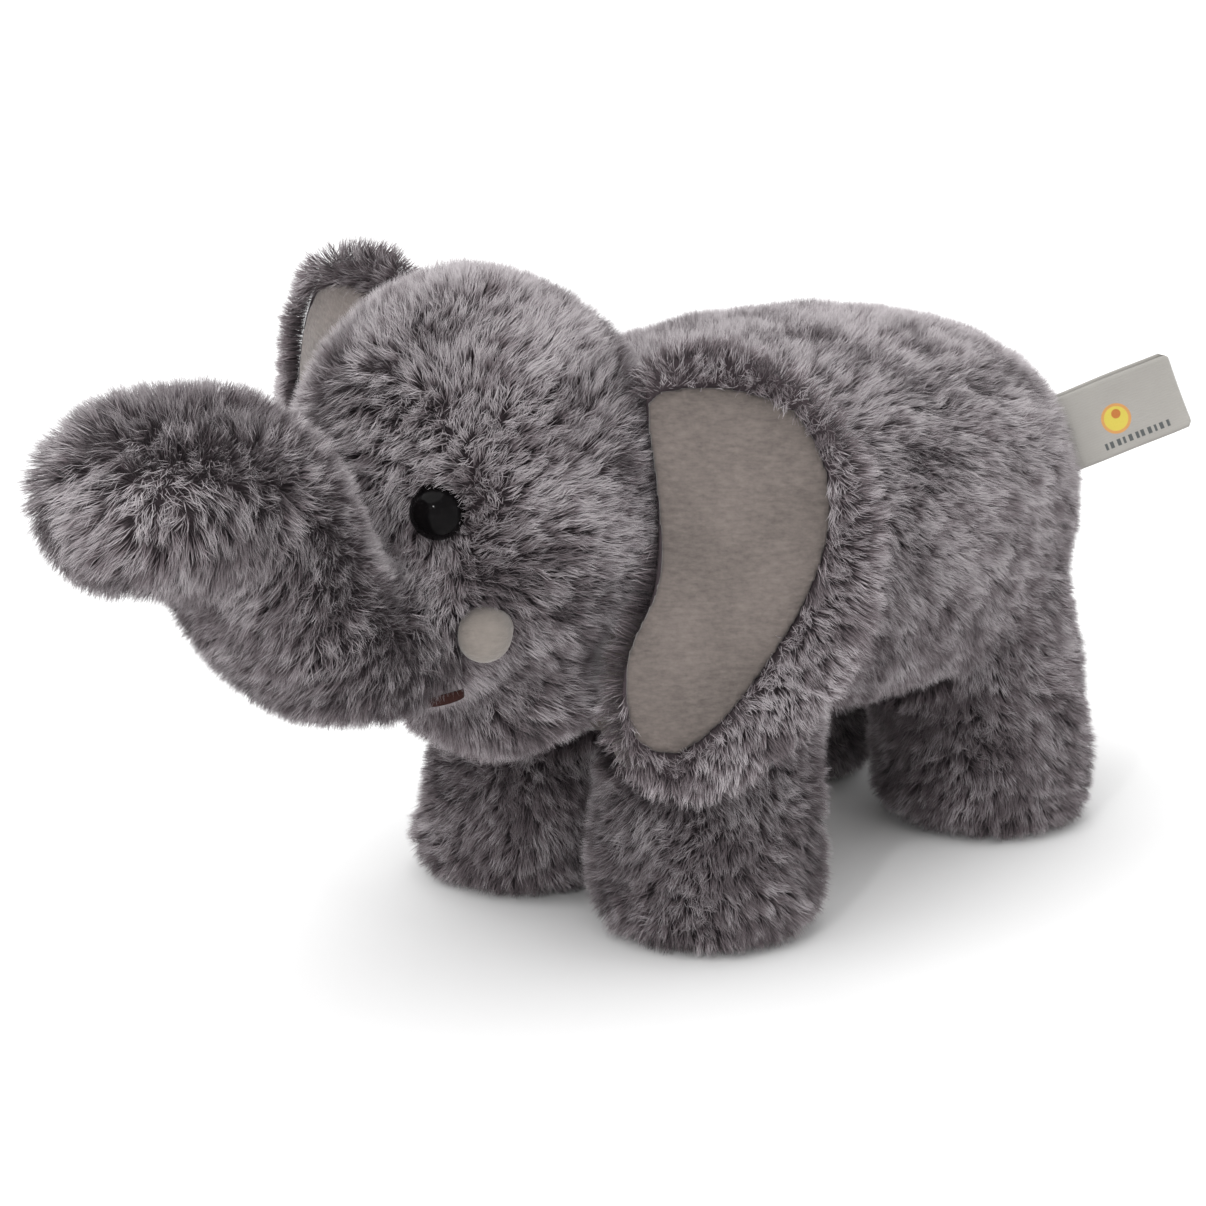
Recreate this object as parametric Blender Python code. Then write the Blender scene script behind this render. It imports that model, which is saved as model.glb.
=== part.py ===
"""Plush elephant, standing, about 32 cm from trunk tip to rump.

Every cut piece of cover fabric, stuffing and hardware is an object of its own.
The elephant faces -Y, its left side is +X, and its soles stand on Z = 0.
A cover piece is as thick as its backing with half of the pile on it.
"""

from math import cos, pi, radians, sin, sqrt

import bmesh
import bpy
from mathutils import Matrix, Vector

GAP = 0.0003                # free space between touching pieces
FILL_GAP = 0.0012           # the same under a faceted cover
ENVELOPE_GAP = 0.0006       # and where one stuffed body is sewn onto another
COVER = 0.0032              # cover fabric with its pressed pile

# Where the point between the front soles stands, so that the whole is centred on the origin
STAND = Vector((0.00704, 0.04215, 0))

# Torso: a stuffed bag along Y
TORSO_CENTRE = Vector((0, 0.020, 0.086))
TORSO_HALF = Vector((0.0575, 0.0925, 0.0495))
TORSO_SQUARENESS = 0.82
BACK_SEAM = 90              # degrees round the torso from +X
BELLY_SEAM = -46
TORSO_START = 0.02          # where its panels start and stop, from front pole to rear pole
TORSO_STOP = 0.96
TORSO_RINGS = 17

# Head: a ball, with its front opening turned down to the trunk
HEAD_CENTRE = Vector((0, -0.0945, 0.1125))
HEAD_HALF = Vector((0.0405, 0.0395, 0.0450))
HEAD_TILT = 38
HEAD_GUSSET = 24            # half width of the crown strip, in degrees round the head
HEAD_START = 0.20
HEAD_STOP = 0.98
HEAD_RINGS = 14

# Trunk: sections from root to tip, (back or upper edge, front or lower edge), in Y and Z
TRUNK_SECTIONS = (
    ((-0.108, 0.105), (-0.098, 0.072)),
    ((-0.130, 0.100), (-0.127, 0.0665)),
    ((-0.138, 0.103), (-0.147, 0.0690)),
    ((-0.141, 0.110), (-0.160, 0.0785)),
    ((-0.144, 0.120), (-0.169, 0.0905)),
    ((-0.151, 0.131), (-0.174, 0.101)),
    ((-0.162, 0.138), (-0.180, 0.106)),
    ((-0.177, 0.141), (-0.187, 0.106)),
    ((-0.189, 0.140), (-0.193, 0.108)),
)
TRUNK_TIP = Vector((-0.2080, 0.124))
TRUNK_BODY = 0.84           # the share of its length before the tip starts to close
TRUNK_HALF_WIDTH = 0.0230
TRUNK_GUSSET = 34           # half width of the upper strip, in degrees round the trunk
TRUNK_SIDES = 24

# Chin: a small pouch under the mouth
CHIN_CENTRE = Vector((0, -0.088, 0.0650))
CHIN_HALF = Vector((0.0245, 0.024, 0.0160))

CHIN_SIDES = 18

# Legs
# Each pair: foot X, how far the top is set in, foot Y, how far the top lies behind the foot
LEG_PAIRS = {
    "front": (0.030, 0.010, -0.047, 0.014),
    "hind": (0.035, 0.009, 0.067, -0.004),
}
LEG_RADIUS = 0.0270
LEG_TOP_RADIUS = {"front": 0.0220, "hind": 0.0260}
LEG_TOP = 0.076
FOOT_ROUND = 0.007          # radius of the roll between leg and sole
FOOT_START = 36             # degrees round that roll where the leg cover ends
FOOT_RINGS = 3
LEG_RINGS = 5
LEG_SIDES = 18
SOLE_THICKNESS = 0.0022
SOLE_CROWN = 0.0009
SOLE_EDGE = 0.0007

# Ears: a leaf hung on a sewn edge that leans in at the top
EAR_ROOT_TOP = Vector((0.0360, -0.082, 0.146))
EAR_ROOT_FOOT = Vector((0.0420, -0.084, 0.050))
EAR_SWEEP = {"left": 50, "right": -3}     # degrees from straight out to straight back
EAR_ROLL = {"left": 0, "right": 10}       # degrees that the free edge is lifted, about the middle of the sewn edge
EAR_LIFT = {"left": 0.0, "right": 0.0124}
EAR_THICKNESS = 0.0056
EAR_CUP = {"left": 0.009, "right": -0.028}    # how far the free edge stands forward of the flat
EAR_LOWER_CUP = 0.005       # and the lower lobe over the leg
EAR_TOP_IN = 0.0068         # how far the top of the sewn edge follows the head inwards
EAR_TOP_FROM = 0.104        # height above which it does
EAR_TOP_REACH = 0.034       # and how far out from the sewn edge this is felt
# Outline from the top of the sewn edge round the free edge to its foot, (outwards, height)
EAR_OUTLINE = (
    (0.003, 0.1360), (0.011, 0.1430), (0.025, 0.1425), (0.038, 0.1350), (0.0475, 0.1210), (0.0515, 0.1040),
    (0.0500, 0.0865), (0.0425, 0.0700), (0.0305, 0.0550), (0.0175, 0.0465), (0.0050, 0.0455), (-0.0050, 0.0520),
    (-0.0070, 0.0640), (-0.0045, 0.0770), (0.0008, 0.0880), (0.0028, 0.1000), (0.0029, 0.1190),
)
EAR_MIDDLE = (0.016, 0.097)
EAR_POINTS = 34
EAR_PIVOT = 0.098
# Outline of the lining on the same spokes: close to the sewn edge, and far inside the lower free edge
LINING_OUTLINE = (
    (0.0042, 0.1323), (0.0118, 0.1356), (0.0235, 0.1350), (0.0351, 0.1301), (0.0416, 0.1165), (0.0413, 0.1020),
    (0.0372, 0.0904), (0.0321, 0.0806), (0.0251, 0.0707), (0.0171, 0.0611), (0.0067, 0.0535), (-0.0026, 0.0572),
    (-0.0045, 0.0676), (-0.0033, 0.0782), (0.0023, 0.0889), (0.0045, 0.0996), (0.0038, 0.1175),
)
LINING_THICKNESS = 0.0016

# Eyes
EYE_PLACE = Vector((0.0225, -0.1305, 0.1125))
EYE_RADIUS = 0.0060
EYE_HEIGHT = 0.0050
EYE_SINK = 0.0016           # how deep it is pulled into the pile
POST_RADIUS = 0.0016
POST_LENGTH = 0.012
WASHER_RADIUS = 0.0070
WASHER_HOLE = 0.0019
WASHER_THICKNESS = 0.0016
WASHER_DEPTH = 0.0042

# Tusks
TUSK_PLACE = Vector((0.0245, -0.1170, 0.0865))
TUSK_AIM = Vector((0.60, -0.76, -0.26))
TUSK_RADIUS = 0.0062
TUSK_LENGTH = 0.0100
TUSK_SINK = 0.010           # how far it runs back into the head before it is trimmed
TUSK_COVER = 0.0012

# Mouth stitch
MOUTH_PLACE = Vector((0.0191, -0.1240, 0.0706))
MOUTH_REACH = Vector((0.0012, 0.0042, 0.0004))
MOUTH_SMILE = 0.0008
STITCH_RADIUS = 0.0011
STITCH_POINTS = 6

# Tail and label
TAIL_HINGE = Vector((0, 0.1115, 0.1060))
TAIL_POINTS = ((0.1115, 0.1060), (0.1163, 0.1010), (0.1193, 0.0925), (0.1205, 0.0825), (0.1205, 0.0720), (0.1193, 0.0620))
TAIL_RADIUS = 0.0045
TAIL_TIP_RADIUS = 0.0026
TAIL_SIDES = 10
TAIL_RINGS = 12
TAIL_GAP = 0.0006           # free space round its upper end
LABEL_ROOT = Vector((0.0395, 0.0880, 0.1003))
LABEL_AIM = Vector((0.62, 0.62, 0.36))
LABEL_EDGE = Vector((-0.30, -0.20, 0.93))
LABEL_WIDTH = 0.0205
LABEL_LENGTH = 0.036
LABEL_SUNK = 0.0065         # how much of it lies inside the seam
LABEL_LEAF = 0.0004
LABEL_LOOP = 0.0012         # half of the space inside the fold


def clear_scene():
    for thing in list(bpy.data.objects):
        bpy.data.objects.remove(thing, do_unlink=True)


def material(name, colour, roughness, metallic=0.0):
    made = bpy.data.materials.get(name)
    if made is None:
        made = bpy.data.materials.new(name)
        made.use_nodes = True
        shader = made.node_tree.nodes["Principled BSDF"]
        shader.inputs["Base Color"].default_value = (*colour, 1.0)
        shader.inputs["Roughness"].default_value = roughness
        shader.inputs["Metallic"].default_value = metallic
    return made


def fur():
    return material("frosted_fur", (0.20, 0.18, 0.19), 0.95)


def minky():
    return material("smooth_minky", (0.42, 0.38, 0.36), 0.9)


def tusk_minky():
    return material("tusk_minky", (0.58, 0.54, 0.49), 0.9)


def fibre():
    return material("polyester_fibre", (0.86, 0.86, 0.84), 1.0)


def black_plastic():
    return material("black_plastic", (0.01, 0.01, 0.01), 0.08)


def white_plastic():
    return material("white_plastic", (0.75, 0.75, 0.73), 0.5)


def satin():
    return material("woven_satin", (0.80, 0.77, 0.70), 0.45)


def red_thread():
    return material("mouth_thread", (0.12, 0.035, 0.03), 0.7)


def empty(name, place, parent=None):
    made = bpy.data.objects.new(name, None)
    bpy.context.scene.collection.objects.link(made)
    made.location = place
    made.parent = parent
    return made


def link_to_frame(made):
    bpy.context.scene.collection.objects.link(made)
    made.parent = bpy.data.objects["elephant_frame"]


def hang(piece, hinge):
    """Hands a piece to its hinge, and leaves it where it is."""
    piece.parent = hinge
    piece.matrix_parent_inverse = Matrix.Translation(-hinge.location)


def add_object(name, mesh, finish):
    made = bpy.data.objects.new(name, mesh)
    link_to_frame(made)
    mesh.materials.append(finish)
    mesh.shade_smooth()
    mesh.set_sharp_from_angle(angle=radians(40))
    return made


def mesh_of(name, points, faces):
    """A mesh whose faces are turned to point outwards."""
    mesh = bpy.data.meshes.new(name)
    mesh.from_pydata(points, [], faces)
    work = bmesh.new()
    work.from_mesh(mesh)
    bmesh.ops.recalc_face_normals(work, faces=work.faces)
    work.to_mesh(mesh)
    work.free()
    return mesh


def panel_mesh(name, surface, along, around, thickness):
    """A curved plate: surface(u, degrees, inset) over the grid along x around, with a wall all round."""
    rows, columns = len(along), len(around)
    points = [surface(u, a, 0.0) for u in along for a in around]
    points += [surface(u, a, thickness) for u in along for a in around]
    size = rows * columns
    faces = []
    for i in range(rows - 1):
        for j in range(columns - 1):
            a, b = i * columns + j, (i + 1) * columns + j
            faces.append((a, a + 1, b + 1, b))
            faces.append((size + a, size + b, size + b + 1, size + a + 1))
    border = [(0, j) for j in range(columns)] + [(i, columns - 1) for i in range(1, rows)]
    border += [(rows - 1, j) for j in range(columns - 2, -1, -1)] + [(i, 0) for i in range(rows - 2, 0, -1)]
    ring = [i * columns + j for i, j in border]
    for a, b in zip(ring, ring[1:] + ring[:1]):
        faces.append((a, b, size + b, size + a))
    return mesh_of(name, points, faces)


def solid_mesh(name, surface, along, sides, inset, start=None, stop=None):
    """A closed body: rings of surface() with a pole at each end, which may lie on a given point."""
    around = [360 * k / sides for k in range(sides)]
    points = [surface(u, a, inset) for u in along for a in around]
    first = len(points)
    middle = [sum((points[r * sides + k] for k in range(sides)), Vector()) / sides for r in (0, len(along) - 1)]
    points += [start or middle[0], stop or middle[1]]
    faces = []
    for r in range(len(along) - 1):
        for k in range(sides):
            a, b = r * sides + k, r * sides + (k + 1) % sides
            faces.append((a, b, b + sides, a + sides))
    last = (len(along) - 1) * sides
    for k in range(sides):
        faces.append((first, (k + 1) % sides, k))
        faces.append((first + 1, last + k, last + (k + 1) % sides))
    return mesh_of(name, points, faces)


def spread(start, stop, count):
    return [start + (stop - start) * k / (count - 1) for k in range(count)]


def power(value, exponent):
    return abs(value) ** exponent * (1 if value >= 0 else -1)


def torso_point(u, degrees, inset):
    """u runs from the front pole (0) to the rear pole (1)."""
    turn = pi * u
    half = TORSO_HALF - Vector((inset, inset, inset))
    reach = power(sin(turn), TORSO_SQUARENESS)
    angle = radians(degrees)
    rump = 1 + 0.05 * (u - 0.5)
    return TORSO_CENTRE + Vector((
        half.x * rump * reach * power(cos(angle), TORSO_SQUARENESS),
        -half.y * power(cos(turn), TORSO_SQUARENESS),
        half.z * reach * power(sin(angle), 0.94),
    ))


def head_point(u, degrees, inset):
    """u runs from the trunk opening (0) to the nape (1)."""
    turn = pi * u
    half = HEAD_HALF - Vector((inset, inset, inset))
    angle = radians(degrees)
    unit = Vector((sin(turn) * cos(angle), -cos(turn), sin(turn) * sin(angle)))
    unit.rotate(Matrix.Rotation(radians(HEAD_TILT), 3, "X"))
    return HEAD_CENTRE + Vector((half.x * unit.x, half.y * unit.y, half.z * unit.z))


def catmull(points, t):
    """Smooth curve through the points at t from 0 to 1."""
    count = len(points) - 1
    place = min(max(t, 0.0), 1.0) * count
    k = min(int(place), count - 1)
    f = place - k
    a, b = Vector(points[max(k - 1, 0)]), Vector(points[k])
    c, d = Vector(points[k + 1]), Vector(points[min(k + 2, count)])
    return 0.5 * ((2 * b) + (c - a) * f + (2 * a - 5 * b + 4 * c - d) * f ** 2 + (3 * b - a - 3 * c + d) * f ** 3)


def trunk_point(u, degrees, inset):
    """u runs from the root (0) to the tip (1)."""
    along = min(u / TRUNK_BODY, 1.0)
    closing = max(0.0, (u - TRUNK_BODY) / (1 - TRUNK_BODY)) * pi / 2
    back = catmull([s[0] for s in TRUNK_SECTIONS], along)
    front = catmull([s[1] for s in TRUNK_SECTIONS], along)
    centre = (back + front) / 2
    centre += (TRUNK_TIP - Vector((-inset, 0)) - centre) * sin(closing) if closing else Vector((0, 0))
    out = (back - front) / 2
    out *= (out.length - inset) / out.length * cos(closing)
    width = (TRUNK_HALF_WIDTH - inset) * cos(closing)
    angle = radians(degrees)
    return Vector((width * cos(angle), centre.x + out.x * sin(angle), centre.y + out.y * sin(angle)))


def leg_heights(pair):
    """(height, radius) of each ring of a leg cover, from the sole's edge up."""
    slimming = LEG_TOP_RADIUS[pair] - LEG_RADIUS
    rings = []
    for degrees in spread(FOOT_START, 90, FOOT_RINGS):
        angle = radians(degrees)
        rings.append((FOOT_ROUND * (1 - cos(angle)), LEG_RADIUS - FOOT_ROUND * (1 - sin(angle))))
    for height in spread(FOOT_ROUND, LEG_TOP, LEG_RINGS)[1:]:
        share = (height - FOOT_ROUND) / (LEG_TOP - FOOT_ROUND)
        rings.append((height, LEG_RADIUS + slimming * share))
    return rings


def leg_surface(side, pair, lift=0.0):
    """Surface of one leg, with side 1 for left and -1 for right."""
    foot_x, lean, foot_y, shift = LEG_PAIRS[pair]
    rings = leg_heights(pair)

    def point(index, degrees, inset):
        height, radius = rings[index]
        share = (height / LEG_TOP) ** 1.5
        angle = radians(degrees)
        return Vector((
            side * (foot_x - lean * share) + (radius - inset) * cos(angle),
            foot_y + shift * share + (radius - inset) * sin(angle),
            max(height, lift),
        ))

    return point, len(rings)


def unit(vector):
    return vector.normalized()


def ear_surface(side):
    """Surface of one ear: outwards and height lie on its flat, and depth is towards its front."""
    mirror = 1 if side == "left" else -1
    sweep = radians(EAR_SWEEP[side])
    roll = radians(EAR_ROLL[side])
    out = Vector((mirror * cos(sweep), sin(sweep), 0))
    front = Vector((mirror * sin(sweep), -cos(sweep), 0))

    def point(outwards, height, depth):
        above = height - EAR_PIVOT
        height = EAR_PIVOT + above * cos(roll) + outwards * sin(roll)
        outwards = outwards * cos(roll) - above * sin(roll)
        share = (EAR_ROOT_TOP.z - height) / (EAR_ROOT_TOP.z - EAR_ROOT_FOOT.z)
        root = EAR_ROOT_TOP.lerp(EAR_ROOT_FOOT, share)
        free = outwards / 0.06
        low = max(0.0, (0.085 - height) / 0.04)
        stand = EAR_CUP[side] * free ** 2 + EAR_LOWER_CUP * min(low, 1.0) ** 2 * min(free * 2, 1.0)
        climb = max(0.0, height - EAR_TOP_FROM) / (EAR_ROOT_TOP.z - EAR_TOP_FROM)
        drawn_in = EAR_TOP_IN * climb ** 2 * max(0.0, 1 - outwards / EAR_TOP_REACH) ** 2
        place = Vector((mirror * (root.x - drawn_in), root.y, height + EAR_LIFT[side]))
        return place + out * outwards + front * (stand + depth)

    return point


def outline_at(outline, share):
    """A point on a closed outline, a share of the way round it."""
    count = len(outline)
    place = (share % 1.0) * count
    k = int(place) % count
    f = place - int(place)
    a, b, c, d = (Vector(outline[(k + step) % count]) for step in (-1, 0, 1, 2))
    return 0.5 * ((2 * b) + (c - a) * f + (2 * a - 5 * b + 4 * c - d) * f ** 2 + (3 * b - a - 3 * c + d) * f ** 3)


def leaf_mesh(name, surface, rings):
    """A closed leaf: rings of (where, amount, depth) from the middle of its back, over the edge, to its front.

    A ring is the ear's outline or the lining's drawn in by a scale, or it lies between the two: a distance out
    from the lining's, or a share of the way.
    """
    count = EAR_POINTS
    middle = Vector(EAR_MIDDLE)
    points = []
    for where, amount, depth in rings:
        for k in range(count):
            outer = outline_at(EAR_OUTLINE, k / count)
            inner = outline_at(LINING_OUTLINE, k / count)
            if where == "ear":
                spot = middle + (outer - middle) * amount
            elif where == "lining":
                spot = middle + (inner - middle) * amount
            elif where == "off":
                spot = inner + unit(outer - inner) * amount
            else:
                spot = inner.lerp(outer, amount)
            points.append(surface(spot.x, spot.y, depth))
    first = len(points)
    points.append(surface(*EAR_MIDDLE, rings[0][2]))
    points.append(surface(*EAR_MIDDLE, rings[-1][2]))
    faces = []
    for r in range(len(rings) - 1):
        for k in range(count):
            a, b = r * count + k, r * count + (k + 1) % count
            faces.append((a, b, b + count, a + count))
    last = (len(rings) - 1) * count
    for k in range(count):
        faces.append((first, (k + 1) % count, k))
        faces.append((first + 1, last + k, last + (k + 1) % count))
    return mesh_of(name, points, faces)


def turned_mesh(name, profile, sides):
    """A solid turned about Z: profile is (radius, height) from the top pole to the bottom pole."""
    points = [Vector((0, 0, profile[0][1])), Vector((0, 0, profile[-1][1]))]
    inner = profile[1:-1]
    for radius, height in inner:
        points += [Vector((radius * cos(2 * pi * k / sides), radius * sin(2 * pi * k / sides), height))
                   for k in range(sides)]
    faces = []
    for r in range(len(inner) - 1):
        for k in range(sides):
            a, b = 2 + r * sides + k, 2 + r * sides + (k + 1) % sides
            faces.append((a, b, b + sides, a + sides))
    last = 2 + (len(inner) - 1) * sides
    for k in range(sides):
        faces.append((0, 2 + (k + 1) % sides, 2 + k))
        faces.append((1, last + k, last + (k + 1) % sides))
    return mesh_of(name, points, faces)


def ring_mesh(name, outer, hole, low, high, sides):
    """A flat washer about Z."""
    corners = ((outer, low), (outer, high), (hole, high), (hole, low))
    points = [Vector((r * cos(2 * pi * k / sides), r * sin(2 * pi * k / sides), z))
              for r, z in corners for k in range(sides)]
    faces = []
    for c in range(4):
        for k in range(sides):
            n = (k + 1) % sides
            d = (c + 1) % 4
            faces.append((c * sides + k, c * sides + n, d * sides + n, d * sides + k))
    return mesh_of(name, points, faces)


def aimed(place, direction):
    """A placement whose Z axis looks along the direction."""
    turn = direction.to_track_quat("Z", "Y").to_matrix().to_4x4()
    return Matrix.Translation(place) @ turn


def cut(target, cutter, name):
    step = target.modifiers.new(name, "BOOLEAN")
    step.operation = "DIFFERENCE"
    step.solver = "EXACT"
    step.object = cutter


def guide(name, mesh):
    """A cutter: it stays out of the part."""
    made = bpy.data.objects.new(name, mesh)
    link_to_frame(made)
    made.hide_render = True
    made.display_type = "WIRE"
    return made


def build_torso():
    along = spread(TORSO_START, TORSO_STOP, TORSO_RINGS)
    slit = 0.35
    sides = (
        ("side_panel_left", BELLY_SEAM + slit, BACK_SEAM - slit, 10, COVER, fur),
        ("side_panel_right", BACK_SEAM + slit, 180 - BELLY_SEAM - slit, 10, COVER, fur),
        ("belly_panel", -180 - BELLY_SEAM + slit, BELLY_SEAM - slit, 7, COVER, minky),
    )
    for name, start, stop, columns, thickness, finish in sides:
        mesh = panel_mesh(name, torso_point, along, spread(start, stop, columns), thickness)
        add_object(name, mesh, finish())
    inner = spread(0.03, 0.97, TORSO_RINGS - 4)
    add_object("body_fill", solid_mesh("body_fill", torso_point, inner, 20, COVER + FILL_GAP), fibre())
    whole = spread(0.01, 0.99, TORSO_RINGS)
    return guide("torso_envelope", solid_mesh("torso_envelope", torso_point, whole, 40, -ENVELOPE_GAP))


def build_head(torso_envelope):
    along = spread(HEAD_START, HEAD_STOP, HEAD_RINGS)
    slit = 0.4
    crown = HEAD_GUSSET
    panels = (
        ("head_side_left", -90 + slit, 90 - crown - slit, 9),
        ("head_gusset", 90 - crown + slit, 90 + crown - slit, 5),
        ("head_side_right", 90 + crown + slit, 270 - slit, 9),
    )
    for name, start, stop, columns in panels:
        mesh = panel_mesh(name, head_point, along, spread(start, stop, columns), COVER)
        cut(add_object(name, mesh, fur()), torso_envelope, "neck")
    inner = spread(0.03, 0.97, HEAD_RINGS - 4)
    fill = add_object("head_fill", solid_mesh("head_fill", head_point, inner, 18, COVER + FILL_GAP), fibre())
    cut(fill, torso_envelope, "neck")
    whole = spread(0.02, 0.98, HEAD_RINGS)
    return guide("head_envelope", solid_mesh("head_envelope", head_point, whole, 36, -ENVELOPE_GAP)), fill


def build_trunk(head_envelope):
    slit = 0.8
    crown = TRUNK_GUSSET
    along = spread(0.0, 0.985, 17)
    panels = (
        ("trunk_side_left", -90 + slit, 90 - crown - slit, 7),
        ("trunk_gusset", 90 - crown + slit, 90 + crown - slit, 5),
        ("trunk_side_right", 90 + crown + slit, 270 - slit, 7),
    )
    for name, start, stop, columns in panels:
        mesh = panel_mesh(name, trunk_point, along, spread(start, stop, columns), COVER)
        cut(add_object(name, mesh, fur()), head_envelope, "face")
    inner = spread(0.0, 0.96, 12)
    fill = add_object("trunk_fill", solid_mesh("trunk_fill", trunk_point, inner, 14, COVER + FILL_GAP), fibre())
    cut(fill, head_envelope, "face")
    whole = spread(0.0, 0.97, 18)
    return guide("trunk_envelope", solid_mesh("trunk_envelope", trunk_point, whole, TRUNK_SIDES, -ENVELOPE_GAP))


def build_chin(cutters):
    def chin_point(u, degrees, inset):
        half = CHIN_HALF - Vector((inset, inset, inset))
        turn = pi * u
        angle = radians(degrees)
        return CHIN_CENTRE + Vector((
            half.x * sin(turn) * cos(angle),
            half.y * sin(turn) * sin(angle),
            -half.z * cos(turn),
        ))

    shell_rings = spread(0.02, 0.62, 7)
    around = [360 * k / CHIN_SIDES for k in range(CHIN_SIDES)]
    points = [chin_point(u, a, 0.0) for u in shell_rings for a in around]
    points += [chin_point(u, a, COVER) for u in shell_rings for a in around]
    cover = add_object("chin_panel", cup_mesh("chin_panel", points, len(shell_rings), CHIN_SIDES), fur())
    fill = add_object("chin_fill", solid_mesh("chin_fill", chin_point, spread(0.06, 0.9, 7), 12, COVER + FILL_GAP), fibre())
    for cutter in cutters:
        cut(cover, cutter, "fit")
        cut(fill, cutter, "fit")


def cup_mesh(name, points, rows, sides):
    """A bowl: outer rings, then inner rings, both from the closed end to the rim."""
    size = rows * sides
    faces = []
    for r in range(rows - 1):
        for k in range(sides):
            a, b = r * sides + k, r * sides + (k + 1) % sides
            faces.append((a, b, b + sides, a + sides))
            faces.append((size + a, size + a + sides, size + b + sides, size + b))
    rim = (rows - 1) * sides
    for k in range(sides):
        n = (k + 1) % sides
        faces.append((rim + k, rim + n, size + rim + n, size + rim + k))
    bottom = [points[k] for k in range(sides)]
    inner = [points[size + k] for k in range(sides)]
    points = points + [sum(bottom, Vector()) / sides, sum(inner, Vector()) / sides]
    for k in range(sides):
        n = (k + 1) % sides
        faces.append((2 * size, n, k))
        faces.append((2 * size + 1, size + k, size + n))
    return mesh_of(name, points, faces)


def tube_faces(rows, sides):
    size = rows * sides
    faces = []
    for r in range(rows - 1):
        for k in range(sides):
            a, b = r * sides + k, r * sides + (k + 1) % sides
            faces.append((a, b, b + sides, a + sides))
            faces.append((size + a, size + a + sides, size + b + sides, size + b))
    for row in (0, rows - 1):
        for k in range(sides):
            a, b = row * sides + k, row * sides + (k + 1) % sides
            faces.append((a, b, size + b, size + a))
    return faces


def build_leg(pair, side, torso_envelope):
    label = pair + "_leg_" + side
    mirror = 1 if side == "left" else -1
    surface, count = leg_surface(mirror, pair)
    around = [360 * k / LEG_SIDES for k in range(LEG_SIDES)]
    points = [surface(r, a, 0.0) for r in range(count) for a in around]
    points += [surface(r, a, COVER) for r in range(count) for a in around]
    cover = add_object(label + "_cover", mesh_of(label + "_cover", points, tube_faces(count, LEG_SIDES)), fur())
    cut(cover, torso_envelope, "hip")
    sole_top = SOLE_THICKNESS + SOLE_CROWN
    raised, count = leg_surface(mirror, pair, sole_top + GAP)
    rings = list(range(1, count))
    stuffing = solid_mesh(label + "_fill", raised, rings, LEG_SIDES, COVER + FILL_GAP)
    cut(add_object(label + "_fill", stuffing, fibre()), torso_envelope, "hip")
    sole_radius = leg_heights(pair)[0][1] - COVER - GAP
    profile = (
        (0, sole_top), (sole_radius * 0.6, sole_top - SOLE_CROWN * 0.3), (sole_radius, SOLE_THICKNESS),
        (sole_radius, SOLE_EDGE), (sole_radius - SOLE_EDGE, 0), (0, 0),
    )
    sole = add_object(label + "_sole", turned_mesh(label + "_sole", profile, LEG_SIDES), minky())
    sole.location = (mirror * LEG_PAIRS[pair][0], LEG_PAIRS[pair][2], 0)


def build_ear(side):
    surface = ear_surface(side)
    half = EAR_THICKNESS / 2
    recess = half - LINING_THICKNESS
    cover_rings = (
        ("ear", 0.35, -half * 0.7), ("ear", 0.70, -half), ("ear", 0.90, -half * 0.92), ("ear", 0.98, -half * 0.45),
        ("ear", 1.0, 0.0), ("between", 0.88, half * 0.5), ("between", 0.62, half), ("off", 0.00055, half * 0.9),
        ("off", GAP + 0.0001, recess - GAP), ("lining", 0.985, recess - GAP), ("lining", 0.75, recess - GAP),
        ("lining", 0.5, recess - GAP),
    )
    lining_rings = (
        ("lining", 0.5, recess), ("lining", 0.75, recess), ("lining", 0.985, recess),
        ("lining", 1.0, recess + 0.0005), ("lining", 0.985, half - 0.0002), ("lining", 0.75, half + 0.0003),
        ("lining", 0.38, half + 0.0004),
    )
    cover = add_object("ear_back_" + side, leaf_mesh("ear_back_" + side, surface, cover_rings), fur())
    lining = add_object("ear_lining_" + side, leaf_mesh("ear_lining_" + side, surface, lining_rings), minky())
    mirror = 1 if side == "left" else -1
    middle = EAR_ROOT_TOP.lerp(EAR_ROOT_FOOT, 0.5)
    place = Vector((mirror * middle.x, middle.y, middle.z + EAR_LIFT[side]))
    hinge = empty("ear_hinge_" + side, place, bpy.data.objects["elephant_frame"])
    hang(cover, hinge)
    hang(lining, hinge)


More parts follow.
